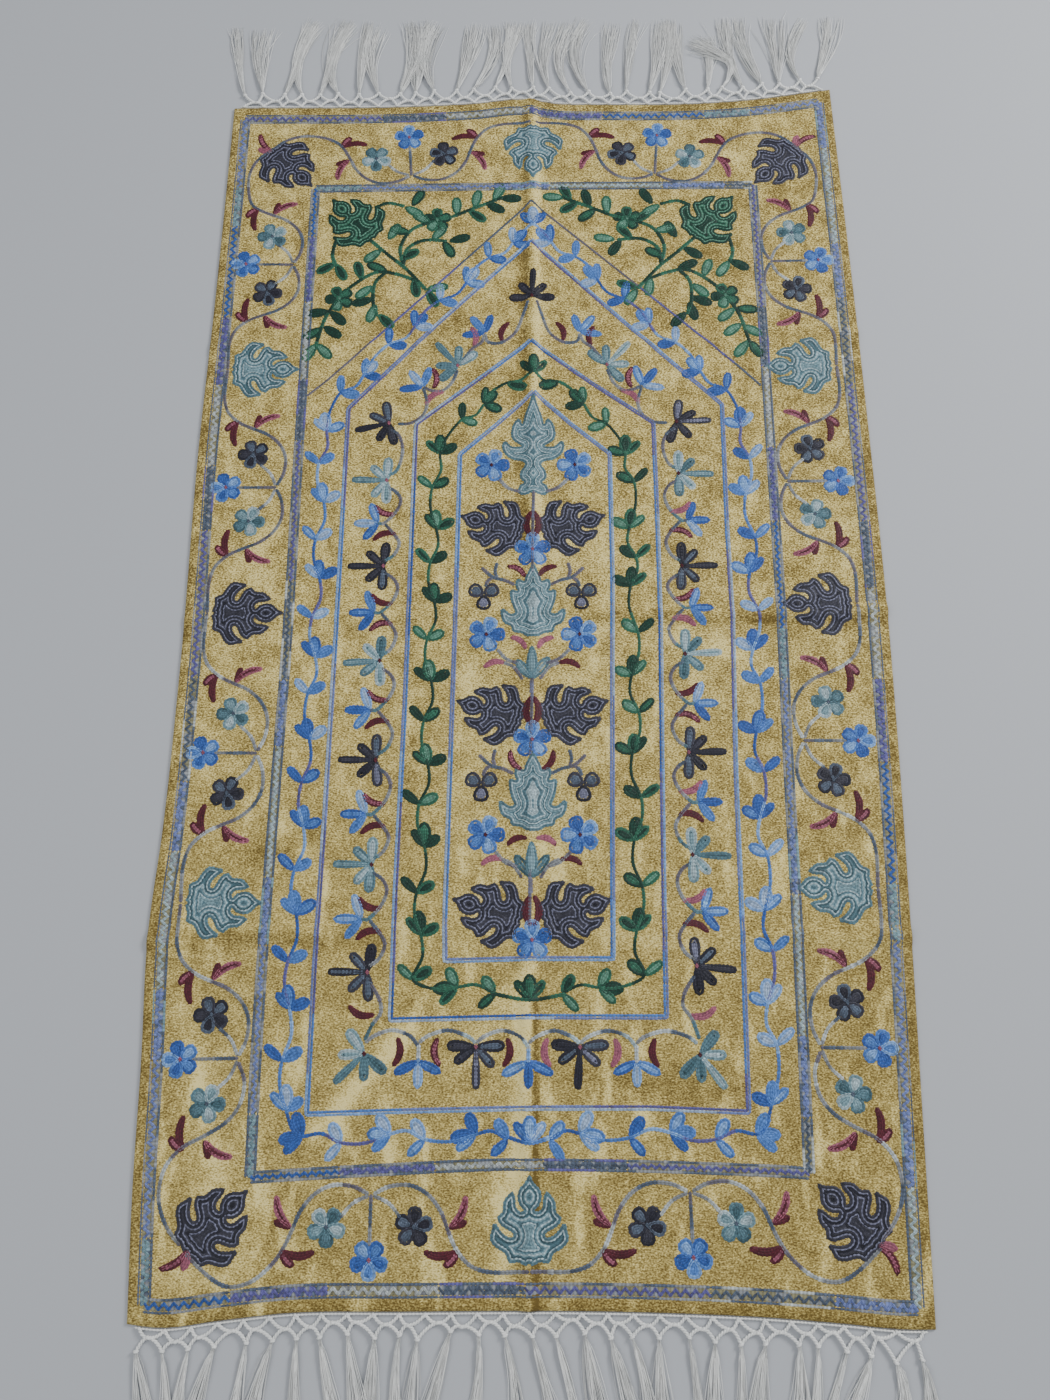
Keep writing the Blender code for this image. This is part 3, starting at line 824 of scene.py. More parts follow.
# Columns: x, y, direction of the tip in degrees, colour; in order round the rug
BORDER_LEAVES = (
    (-262, 524, -45, "navy"), (2, 543, -90, "teal"), (265, 523, 225, "navy"), (275, 274, 180, "teal"),
    (276, 18, 180, "navy"), (274, -250, 180, "teal"), (266, -522, 135, "navy"), (0, -528, 90, "teal"),
    (-262, -529, 45, "navy"), (-277, -264, 0, "teal"), (-275, 10, 0, "navy"), (-275, 274, 0, "teal"),
)
HALF_RUN = 131.0
# Half a repeat, from a leaf to the joint: columns along the border, outwards
VINE_FROM_SIDE = (
    (0, 33), (28, 34), (44, 31), (53, 25), (61, 15), (67, 2), (73, -12), (84, -25), (99, -32), (116, -31),
    (129, -25),
)
VINE_FROM_TOP = ((-20, 17), (-2, 31), (17, 36), (37, 33)) + VINE_FROM_SIDE[3:]
VINE_DOWN_THE_SIDE = ((-22, 8), (-6, 24), (14, 31), (36, 30)) + VINE_FROM_SIDE[3:]
VINE_FROM_BOTTOM = ((-20, 20), (0, 37), (17, 45), (36, 41), (52, 28)) + VINE_FROM_SIDE[4:]
VINE_UP_THE_SIDE = (
    (-14, 16), (2, 29), (22, 36), (44, 33), (60, 20), (70, 0), (80, -17), (94, -28), (112, -31), (128, -25),
)
border = Stitching("scroll_border", 13)


def stitch_repeat(first, last):
    """One repeat of the border between two leaves, seen with the rug's edge on the left."""
    start = np.array(first[:2], float)
    end = np.array(last[:2], float)
    if abs(end[1] - start[1]) > abs(end[0] - start[0]):
        start[0] = math.copysign(max(abs(start[0]), 271), start[0])
        end[0] = math.copysign(max(abs(end[0]), 271), end[0])
    run = end - start
    length = np.hypot(*run)
    along = run / length
    outward = np.array((-along[1], along[0]))
    squeeze = length / (2 * HALF_RUN)

    def chart(points, from_end=False):
        p = np.asarray(points, float)
        s = p[:, 0] * squeeze
        if from_end:
            s = length - s
        return start + s[:, None] * along + p[:, 1:2] * outward

    heading = math.degrees(math.atan2(along[1], along[0]))
    for leaf, from_end in ((first, False), (last, True)):
        vine = VINE_FROM_SIDE
        if leaf[2] % 90 != 0:
            upright = abs(along[1]) > 0.5
            if leaf[1] > 0:
                vine = VINE_DOWN_THE_SIDE if upright else VINE_FROM_TOP
            else:
                vine = VINE_UP_THE_SIDE if upright else VINE_FROM_BOTTOM
        stem(border, chart(vine, from_end), DARK_STEM if start[1] + end[1] > 0 else STEM)
        stalk = chart(((129, -24), (116, -18), (106, -7)), from_end)
        stem(border, stalk, ("stone", "pearl", "slate", "stone"), 3.9)
        petals = TEAL_PETALS if leaf[3] == "navy" else NAVY_PETALS
        flower(border, chart(((95, 0),), from_end)[0], heading + (20 if from_end else 50), petals, "slate")
        way = -1 if from_end else 1
        forward = heading + (180 if from_end else 0)
        outer = chart(((58, 18),), from_end)[0]
        inner = chart(((66, 1),), from_end)[0]
        border.rows(LONG_LEAFLET, outer, forward + 2 * way, ("maroon", "maroon"), flip=from_end)
        border.rows(SHORT_LEAFLET, outer, forward + 47 * way, ("maroon", "rose"), flip=from_end)
        border.rows(LONG_LEAFLET, inner, forward - 119 * way, ("rose", "maroon"), flip=not from_end)
        border.rows(SHORT_LEAFLET, inner, forward - 162 * way, ("maroon", "maroon"), 0.92, flip=from_end)
    stem(border, chart(((HALF_RUN, -25), (HALF_RUN, 14))), ("grey_violet", "slate", "stone"), 3.9)
    flower(border, chart(((HALF_RUN, 25),))[0], heading + 90, BLUE_PETALS, "rose")


for leaf, following in zip(BORDER_LEAVES, BORDER_LEAVES[1:] + BORDER_LEAVES[:1]):
    stitch_repeat(leaf, following)
for k, (x, y, tip, family) in enumerate(BORDER_LEAVES):
    towards = np.array((math.cos(math.radians(tip)), math.sin(math.radians(tip))))
    threads = NAVY_LEAF if family == "navy" else TEAL_LEAF
    border.rows(PLANE_LEAF, np.array((x, y)) + 3.0 * towards, tip, threads, 0.96, k % 2 == 1)
    if tip % 90 != 0:
        base = np.array((x, y)) - 25 * towards
        border.rows(LONG_LEAFLET, base, tip + 168, ("maroon", "rose"), 0.95)
        border.rows(SHORT_LEAFLET, base, tip + 212, ("rose", "rose"), 0.95)
border_piece = border.finish(silk_finish)

# The leaf vines: a blue one outside the flowers and a green one round the middle panel.
# Each is a winding stem with sprigs of three leaves and of two in turn. Both start at the
# middle of the near end, run up the two long sides, and meet at the arch's point.
WIDE_LEAF = blade(21, 12.0, base=0.62, tip=0.5)
SIDE_LEAF = blade(19, 10.8, base=0.7, tip=0.5)
SLIM_LEAF = blade(20, 8.6, base=0.7, tip=0.5)
BLUE_LEAVES = pairs("royal azure  azure sky  sky pale_blue  royal royal  azure azure")
GREEN_LEAVES = pairs("fir leaf_green  leaf_green sage  fir fir  leaf_green fir")
vines = Stitching("leaf_vines", 14)


def sprig(work, at, heading, leaves, palettes, side):
    """Three leaves (the middle one along the vine) or two, from one spot of a vine."""
    if leaves == 3:
        plan = ((WIDE_LEAF, 6), (SIDE_LEAF, -60), (SLIM_LEAF, 44))
    else:
        plan = ((SLIM_LEAF, 46), (SIDE_LEAF, -57))
    for shape, turn in plan:
        palette = palettes[work.random.integers(len(palettes))]
        way = heading + side * (turn + work.random.normal(0, 4))
        work.rows(shape, at, way, palette, 1 + work.random.normal(0, 0.04), run=9)


def leaf_vine(work, spots, palettes, threads, side):
    """A vine through spots (x, y, heading, leaves), winding to one side and the other."""
    line = []
    for k, (x, y, heading, leaves) in enumerate(spots):
        turn = math.radians(heading)
        across = np.array((math.sin(turn), -math.cos(turn))) * side
        here = np.array((x, y), float) + across * (1.5 if leaves == 3 else -2.5)
        line.append(here)
        sprig(work, here, heading, leaves, palettes, side)
        if k + 1 < len(spots):
            middle = (np.array((x, y)) + np.array(spots[k + 1][:2])) / 2
            line.append(middle + across * (-4.2 if leaves == 3 else 4.2))
    stem(work, line, threads, width=3.7, run=45)


# Columns: x, y, direction that the leaves point in, number of leaves, from the near end up
BLUE_LEFT = (
    (-18, -458, 180, 2), (-45, -458, 180, 3), (-88, -458, 180, 2), (-117, -458, 180, 3),
    (-158, -461, 180, 2), (-191, -460, 175, 3), (-207, -438, 92, 3), (-209, -398, 90, 2),
    (-209, -355, 90, 3), (-209, -315, 90, 2), (-208, -274, 90, 3), (-208, -235, 90, 2),
    (-206, -196, 90, 3), (-206, -155, 90, 2), (-205, -114, 90, 3), (-205, -70, 90, 2), (-204, -34, 90, 3),
    (-205, 5, 90, 2), (-204, 46, 90, 3), (-206, 86, 90, 2), (-204, 126, 90, 3), (-207, 168, 90, 2),
    (-205, 204, 88, 3), (-190, 245, 48, 2), (-170, 268, 46, 3), (-143, 300, 46, 2), (-120, 324, 46, 3),
    (-92, 352, 46, 2), (-68, 376, 46, 3), (-42, 403, 46, 2), (-20, 424, 46, 3),
)
BLUE_RIGHT = (
    (17, -458, 0, 2), (42, -457, 0, 3), (84, -456, 0, 2), (118, -456, 0, 3), (156, -457, 0, 2),
    (190, -457, 4, 3), (205, -432, 88, 3), (208, -384, 90, 2), (206, -350, 90, 3), (209, -305, 90, 2),
    (208, -270, 90, 3), (209, -222, 90, 2), (208, -188, 90, 3), (210, -145, 90, 2), (209, -108, 90, 3),
    (211, -60, 90, 2), (210, -28, 90, 3), (213, 11, 90, 2), (211, 50, 90, 3), (214, 86, 90, 2),
    (211, 132, 90, 3), (213, 171, 90, 2), (210, 206, 94, 3), (194, 246, 132, 2), (172, 270, 134, 3),
    (145, 300, 134, 2), (122, 325, 134, 3), (94, 352, 134, 2), (70, 378, 134, 3), (44, 404, 134, 2),
    (22, 425, 134, 3),
)
GREEN_LEFT = (
    (-30, -339, 180, 2), (-63, -338, 180, 3), (-99, -330, 92, 2), (-97, -292, 90, 3), (-98, -255, 90, 2),
    (-96, -214, 90, 3), (-98, -175, 90, 2), (-95, -138, 90, 3), (-96, -97, 90, 2), (-94, -58, 90, 3),
    (-95, -17, 90, 2), (-93, 21, 90, 3), (-94, 61, 90, 2), (-93, 97, 90, 3), (-94, 141, 90, 2),
    (-91, 178, 88, 3), (-67, 214, 38, 2), (-48, 234, 42, 3),
)
GREEN_RIGHT = (
    (28, -339, 0, 2), (60, -338, 0, 3), (97, -326, 88, 2), (95, -288, 90, 3), (97, -249, 90, 2),
    (95, -208, 90, 3), (98, -169, 90, 2), (95, -128, 90, 3), (98, -89, 90, 2), (96, -53, 90, 3),
    (99, -10, 90, 2), (97, 37, 90, 3), (99, 66, 90, 2), (97, 97, 90, 3), (99, 146, 90, 2),
    (95, 176, 92, 3), (74, 208, 142, 2), (54, 234, 138, 3),
)
BLUE_STEM = ("royal", "azure", "sky", "violet")
GREEN_STEM = ("fir", "leaf_green")
leaf_vine(vines, BLUE_LEFT, BLUE_LEAVES, BLUE_STEM, 1)
leaf_vine(vines, BLUE_RIGHT, BLUE_LEAVES, BLUE_STEM, -1)
leaf_vine(vines, GREEN_LEFT, GREEN_LEAVES, GREEN_STEM, 1)
leaf_vine(vines, GREEN_RIGHT, GREEN_LEAVES, GREEN_STEM, -1)
for x, y, palettes, threads in (
    (0, -463, BLUE_LEAVES, BLUE_STEM), (0, -347, GREEN_LEAVES, GREEN_STEM), (2, 444, BLUE_LEAVES, BLUE_STEM),
):
    for shape, turn in ((WIDE_LEAF, 90), (SLIM_LEAF, 52), (SLIM_LEAF, 128)):
        vines.rows(shape, (x, y), turn, palettes[vines.random.integers(4)], 1.05)
    reach = 31 if y == -347 else 20
    rise = 5 if y < 0 else -20
    stem(vines, ((x - reach, y + rise), (x, y), (x + reach, y + rise)), threads)
stem(vines, ((-48, 235), (-38, 248), (-24, 257), (-12, 259), (3, 270)), GREEN_STEM)
stem(vines, ((54, 235), (40, 250), (28, 258), (14, 259), (3, 270)), GREEN_STEM)
for at, turn, shape in (
    ((-24, 256), -12, WIDE_LEAF), ((28, 257), 192, WIDE_LEAF), ((3, 268), 90, WIDE_LEAF),
    ((3, 267), 50, SLIM_LEAF), ((3, 267), 132, SLIM_LEAF),
):
    vines.rows(shape, at, turn, GREEN_LEAVES[vines.random.integers(4)])
vines_piece = vines.finish(silk_finish)

# The flower vine: stars of five long petals, navy and teal in turn, with blue buds of
# three petals between them, all on a scalloped stem. Maroon crescents hang off the stem.
STAR_LONG = blade(35, 7.2, base=0.95, tip=0.32)
STAR_WIDE = blade(25, 10.0, base=0.75, tip=0.34)
STAR_SIDE = blade(22.5, 8.8, base=0.75, tip=0.34)
BUD_PETAL = blade(23, 8.6, base=0.7, tip=0.55)
CRESCENT = blade(25, 6.4, base=0.6, tip=0.6, bend=4.0)
NAVY_STAR = pairs("charcoal slate  ink charcoal  ink ink  charcoal lavender  ink slate")
TEAL_STAR = pairs("teal sea  mist sea  teal deep_teal  sea mist  teal teal")
CRESCENTS = pairs("maroon maroon  maroon rose  rose rose")
flowers = Stitching("flower_vine", 15)


def placed(points, side, base=0, up=0):
    """Points measured from the middle line, on one side of it, then moved sideways and up."""
    return [(side * x + base, y + up) for x, y in points]


def star(work, at, heading, palettes, scale=1.0):
    """Five long petals: the longest along the heading, a pair beside it and a pair behind."""
    plan = ((STAR_SIDE, -46), (STAR_SIDE, 46), (STAR_WIDE, -92), (STAR_WIDE, 92), (STAR_LONG, 0))
    for k, (shape, turn) in enumerate(plan):
        way = heading + (turn + work.random.normal(0, 4))
        work.rows(shape, at, way, palettes[(k + work.random.integers(5)) % 5], scale)
    eye = ("rose", "maroon")[work.random.integers(2)]
    work.row(eye_ring(at), eye, closed=True, lift=0.6)


def bud(work, at, heading, palettes, side=1, turns=(0, -52, 72), scale=1.0):
    """Three pointed petals from one spot."""
    for turn in turns:
        palette = palettes[work.random.integers(len(palettes))]
        size = scale * (1 + work.random.normal(0, 0.05))
        work.rows(BUD_PETAL, at, heading + side * turn, palette, size, run=12)


def crescent(work, at, heading, flip=False, scale=1.0):
    """A curved maroon leaflet."""
    work.rows(CRESCENT, at, heading, CRESCENTS[work.random.integers(3)], scale, flip=flip, run=15)


# Columns: place along the side, star or bud; from the arch down, left and then right
LEFT_NODES = (
    (212, "navy"), (149, "teal"), (103, "bud"), (58, "navy"), (10, "bud"), (-38, "teal"), (-86, "bud"),
    (-134, "navy"), (-184, "bud"), (-230, "teal"), (-278, "bud"), (-324, "navy"), (-391, "teal"),
)
RIGHT_NODES = (
    (212, "navy"), (155, "teal"), (105, "bud"), (57, "navy"), (14, "bud"), (-32, "teal"), (-80, "bud"),
    (-127, "navy"), (-173, "bud"), (-221, "teal"), (-271, "bud"), (-318, "navy"), (-389, "teal"),
)
for nodes, side, middle in ((LEFT_NODES, -1, 141.5), (RIGHT_NODES, 1, 145.0)):
    outward = 180 if side < 0 else 0
    for (y0, kind0), (y1, kind1) in zip(nodes, nodes[1:]):
        if y1 < -380:
            scallop = (
                (middle - 2, y0 - 8), (middle - 11, y0 - 22), (middle - 13, y0 - 34), (middle - 6, y0 - 44),
                (middle, y1 + 10),
            )
        else:
            scallop = (
                (middle, y0 - 1) if kind0 == "bud" else (middle - 1, y0 - 7),
                (middle - 10, y0 - 13), (middle - 14.5, (y0 + y1) / 2 + 1), (middle - 10, y1 + 12),
                (middle + 1, y1) if kind1 == "bud" else (middle - 1, y1 + 5),
            )
            if kind1 == "bud":
                scallop += ((middle + 7, y1),)
        stem(flowers, placed(scallop, side), ("slate", "grey_violet", "stone", "teal"))
    for y, kind in nodes:
        if kind == "bud":
            bud(flowers, (side * (middle + 7), y), outward, BLUE_LEAVES, side=-side, turns=(0, 52, -70))
            crescent(flowers, (side * (middle - 11), y + 9), 90 - side * 65, flip=side > 0)
            crescent(flowers, (side * (middle - 12), y - 11), 90 - side * 107, flip=side < 0)
        elif y > -380:
            heading = outward + (-12 * side if y > 200 else 0)
            star(flowers, (side * middle, y), heading, NAVY_STAR if kind == "navy" else TEAL_STAR)
    crescent(flowers, (side * (middle - 8), -360), 90 - side * 72, flip=side > 0)
    star(flowers, (side * middle, -392), 270 + side * 46, TEAL_STAR)
# Along the near end: columns are x and kind
NEAR_NODES = (
    (-141, "end"), (-95, "bud"), (-46, "star"), (-1, "bud"), (43, "star"), (91, "bud"), (143, "end"),
)
for (x0, kind0), (x1, kind1) in zip(NEAR_NODES, NEAR_NODES[1:]):
    end_y = -386 if kind1 == "bud" else -383
    scallop = ((x0, -383), (x0 + 8, -377), ((x0 + x1) / 2, -372.5), (x1 - 8, -377), (x1, end_y))
    stem(flowers, scallop, ("stone", "pearl", "slate", "mist"))
for x, kind in NEAR_NODES:
    if kind == "bud":
        stem(flowers, ((x, -384), (x, -392), (x, -399)), ("pearl", "sky"))
        bud(flowers, (x, -398), 270, BLUE_LEAVES, turns=(0, -64, 64))
        crescent(flowers, (x - 18, -378), 262)
        crescent(flowers, (x + 16, -378), 276, flip=True)
    elif kind == "star":
        star(flowers, (x, -386), 270, NAVY_STAR)
# The gable's stem, in two scallops from the side up to the arch's point
GABLE_STEMS = (
    ((133, 211), (120, 212), (108, 221), (104, 235), (108, 252), (101, 249), (90, 248), (80, 257), (74, 272)),
    ((70, 282), (60, 296), (50, 304), (47, 314), (44, 304), (30, 303), (16, 315), (8, 336), (3, 352)),
)
# Columns: x, y, and the turn from straight up, away from the middle line
GABLE_CRESCENTS = ((98, 250, 4), (106, 232, -50), (58, 298, 8), (30, 304, -18))
for side, base in ((-1, 0), (1, 3)):
    for line in GABLE_STEMS:
        stem(flowers, placed(line, side, base), ("slate", "grey_violet", "stone"))
    outward = 135 if side < 0 else 45
    for x, y in ((109, 253), (47, 315)):
        bud(flowers, (side * x + base, y), outward, BLUE_LEAVES, side=side, turns=(8, -52, 62))
    star(flowers, (side * 74 + base, 277), outward, TEAL_STAR)
    for k, (x, y, turn) in enumerate(GABLE_CRESCENTS):
        crescent(flowers, (side * x + base, y), 90 - side * turn, flip=(side < 0) == (k % 2 == 0))
star(flowers, (1, 357), 90, NAVY_STAR, scale=0.95)
flowers_piece = flowers.finish(silk_finish)

# The corner sprays: in each corner above the arch a green plane-tree leaf on a stem, with
# curling branches of small leaves and round flowers. The right one mirrors the left one.
SPRAY_LEAF = blade(23, 11.0, base=0.75, tip=0.5)
SPRAY_STEMS = (
    ((-171, 430), (-150, 410), (-130, 392), (-108, 366)),
    ((-133, 395), (-137, 418), (-126, 440), (-105, 450), (-84, 456), (-62, 466), (-30, 480)),
    ((-133, 397), (-130, 416), (-113, 427), (-88, 426)),
    ((-118, 377), (-140, 386), (-162, 388), (-187, 371), (-202, 352), (-213, 330), (-220, 300)),
    ((-150, 390), (-162, 375), (-163, 352), (-158, 335)),
    ((-166, 468), (-152, 474), (-134, 470)), ((-205, 428), (-208, 410), (-204, 398)),
)
# Columns: where a leaf starts, and the direction of its tip in degrees
SPRAY_LEAVES = (
    (-126, 470, 60), (-134, 469, -35), (-150, 428, 60), (-157, 416, 215), (-137, 404, 30),
    (-150, 390, 160), (-108, 366, -62), (-108, 367, 12), (-122, 380, -80), (-86, 426, 12), (-92, 426, -60),
    (-104, 427, 50), (-78, 458, 88), (-66, 464, -38), (-60, 467, 75), (-48, 473, -30), (-40, 476, 60),
    (-33, 479, 0), (-176, 380, 110), (-164, 372, 220), (-160, 350, 250), (-157, 338, -50),
    (-163, 356, 200), (-204, 400, 210), (-204, 399, -60), (-208, 342, 190), (-207, 342, -40),
    (-214, 322, 215), (-213, 324, -35), (-219, 303, 240), (-219, 303, -50), (-127, 436, 165),
    (-106, 448, 140),
)
sprays = Stitching("corner_sprays", 16)
GREEN_PETALS = pairs("fir leaf_green  leaf_green fir  fir fir  leaf_green sage  fir leaf_green")
GREEN_PLANE_LEAF = ("fir", "fir", "leaf_green", "fir", "fir", "sage")
for side, base in ((-1, 0), (1, 2)):
    for line in SPRAY_STEMS:
        stem(sprays, placed(line, -side, base), ("fir", "leaf_green"), width=5.2)
    for x, y, turn in SPRAY_LEAVES:
        palette = GREEN_LEAVES[sprays.random.integers(4)]
        turn = turn if side < 0 else 180 - turn
        sprays.rows(SPRAY_LEAF, (-side * x + base, y), turn + sprays.random.normal(0, 3), palette, run=9)
    sprays.rows(PLANE_LEAF, (side * 187 + base, 452), 90 - side * 42, GREEN_PLANE_LEAF, 0.96, flip=side > 0)
    for x, y, turn in ((99, 452, 20), (198, 357, 40)):
        flower(sprays, (side * x + base, y), turn, GREEN_PETALS, "sage", 0.95)
sprays_piece = sprays.finish(silk_finish)

# The flowering tree in the middle panel: a straight stem with teal palmettes, pairs of
# navy plane-tree leaves, blue flowers and small buds, the same three times over.
PALMETTE = rows_inside(mirrored([
    (55, 0), (42, 4), (30, 8.5), (20, 11), (27, 13.5), (22, 19), (12, 22), (4, 21), (-1, 16), (-4, 11),
    (-5, 16), (-4, 22), (2, 28), (-4, 31), (-13, 28), (-19, 20), (-21, 11), (-25, 8), (-31, 12), (-39, 13),
    (-44, 9), (-47, 13), (-55, 15), (-58, 8), (-56, 0),
]))
SHORT_PALMETTE = rows_inside(mirrored([
    (55, 0), (48, 3.6), (41, 7.4), (37, 8.6), (39.5, 15), (32.5, 17), (27, 15), (28.5, 21.5), (19, 21.5),
    (10, 19), (4.5, 17), (3.5, 22), (9.5, 30), (1, 30.5), (-6, 27), (-9, 21), (-14.5, 19), (-16, 11),
    (-19.5, 6), (-20, 0),
]))
PALMETTE_THREADS = ("teal", "sea", "deep_teal", "sea", "teal", "mist")
SMALL_PETAL = blade(13.5, 12.5, base=0.7, tip=0.4)
BUD_HEART = blade(33, 11, base=0.7, tip=0.9)
# For each lower palmette's three pairs of crescents, from the middle of the palmette:
# distance across, distance along, turn outwards, scale, whether it bows upwards
CRESCENT_PAIRS = {
    5: ((5.8, 41, 58, 0.88, True), (5, -32, 52, 0.82, True), (25, -45, 104, 0.85, True)),
    -180: ((8.8, 36, 30, 0.92, False), (3.5, -26, 109, 0.82, True), (25, -45, 104, 0.85, True)),
}
TRUNK = ("grey_violet", "lavender")
TWIG = ("grey_violet", "slate")
STALK = ("grey_violet", "stone")
TWIG_LINES = (
    ((17, 33), (27, 38), (38, 41), (49, 51)),
    ((34, 40.5), (36, 47), (34, 56)),
    ((38, 41), (43, 37), (45, 31)),
)
tree_work = Stitching("middle_tree", 17)
for line in (((3, 136), (2, 90), (2, 50)), ((2, -52), (1, -100), (0, -130)), ((0, -234), (0, -285))):
    stem(tree_work, line, TRUNK, width=4.0)
# Columns: y of a palmette's middle and of the leaves below it, x and y of the side flowers,
# y of the flower on the stem
for y, leaf_y, flower_x, flower_y, axis_y in (
    (190, 98, 41, 165, 74), (5, -90, 44, -12, -115), (-180, -273, 42.5, -203, -296),
):
    for side in (-1, 1):
        leaf_at = (side * 37.5 + 2, leaf_y + 2)
        tree_work.rows(PLANE_LEAF, leaf_at, 90 - side * 72, NAVY_LEAF, 0.91, flip=side > 0)
        petals = BLUE_PETALS if side < 0 else BLUE_PETALS[::-1]
        flower(tree_work, (side * flower_x + 2.5, flower_y), 90 + side * 18, petals, "maroon", 1.12)
        line = ((12, 2, -29), (24, 2, -25), (34, 3, -15))
        stem(tree_work, [(side * x + base, flower_y + rise) for x, base, rise in line], STALK)
        tree_work.rows(CRESCENT, (side * 1.5 + 2, leaf_y - 12), 90, ("maroon", "maroon"), 1.15, flip=side > 0)
        if y < 190:
            for across, along, turn, scale, upwards in CRESCENT_PAIRS[y]:
                flipped = (side < 0) == upwards
                crescent(tree_work, (side * across + 1.5, y + along), 90 - side * turn, flipped, scale)
            stem(tree_work, placed(((8, -62), (16, -50), (26, -45)), side, 1, y), STALK)
            for line in TWIG_LINES:
                stem(tree_work, placed(line, side, 2, y), TWIG)
            for turn in (0, 120, 240):
                palette = ("charcoal", "slate") if turn else ("ink", "lavender")
                tree_work.rows(SMALL_PETAL, (side * 46.5 + 2, y + 23), turn - 90, palette, 1.2)
    flower(tree_work, (2, axis_y), 90, BLUE_PETALS, "rose", 1.12)
    tree_work.rows(PALMETTE if y > 100 else SHORT_PALMETTE, (2.5, y), 90, PALMETTE_THREADS, flip=y < 0)
    if y < 190:
        bud(tree_work, (1.5, y - 62), 90, pairs("teal sea  deep_teal teal"), turns=(36, -36), scale=1.15)
        tree_work.rows(BUD_HEART, (1.5, y - 62), 90, ("teal", "sea", "mist"), run=12)
        stem(tree_work, ((1, y - 62), (1, y - 76)), TRUNK)
tree_piece = tree_work.finish(silk_finish)

# The fringes: white silky yarn, knotted by hand below each hem into two rows of net, with
# a tassel under every knot of the second row. The cords are two strands twisted together.
COLUMNS = 31
PITCH = WIDTH / COLUMNS
FIRST_KNOTS = 0.0085
SECOND_KNOTS = 0.0175
KNOT_HEIGHT = 0.0019
# Radius and length of a full twist
HEADER_CORD = (0.0008, 0.0060)
NET_CORD = (0.0015, 0.0056)
TIP_LEVEL = 0.714
YARNS = 40
YARN_RADII = np.linspace(0.00036, 0.00028, 10)
YARN_TONES = (0.66, 0.86, 1.0, 1.06, 1.1)
# Each tassel's sideways bend, sideways reach at the tip, and change of length, in millimetres
FAR_TASSELS = (
    (-8, -16, -4), (-4, -6, -6), (9, 24, 2), (-7, 12, 4), (8, 22, 5), (-9, 12, 0), (2, 10, 2),
    (-9, -8, -6), (12, 18, 2), (2, -3, 4), (-12, -2, 2), (9, 17, -2), (15, 22, -4), (12, 22, 0),
    (-7, 0, -2), (-4, -4, -3), (-8, -6, 2), (-13, -1, -2), (-12, 2, 0), (-2, 6, -3), (2, 10, 2),
    (10, 20, 0), (9, 14, 2), (-6, -8, -2), (3, 5, -22), (9, 3, -26), (-9, -13, 2), (-14, -26, 2),
    (0, 2, 2), (-7, 12, -3), (8, 16, 3),
)
NEAR_TASSELS = (
    (8, 30, 0), (7, 14, 2), (-4, -14, -3), (-9, -24, 3), (-5, -9, 0), (-9, -18, 2), (-3, 2, 3),
    (10, 26, 2), (6, 15, -2), (-1, -3, 2), (-4, 3, 3), (-4, -12, 0), (-12, -27, 2), (2, -20, 0),
    (8, 8, -2), (9, 20, 0), (10, 22, -4), (6, 24, 0), (12, 26, 2), (10, 20, -3), (2, 6, 2),
    (4, 8, 0), (0, -1, 2), (0, -4, 3), (-6, -18, 0), (-2, -9, 2), (-3, -13, 0), (-12, -28, -4),
    (-14, -32, -16), (6, -12, -22), (3, 6, -26),
)
# The tassel that lies folded back over its neighbours, as points in millimetres
FOLDED_BACK = {
    ("far_fringe_yarns", 25): ((211, 620), (218, 638), (221, 655), (206, 670), (190, 679), (176, 686)),
}


def end_line(end, x):
    """Where the cloth's end lies at x, in metres."""
    return end * (LENGTH / 2 + side_offset(FAR_END if end > 0 else NEAR_END, x))


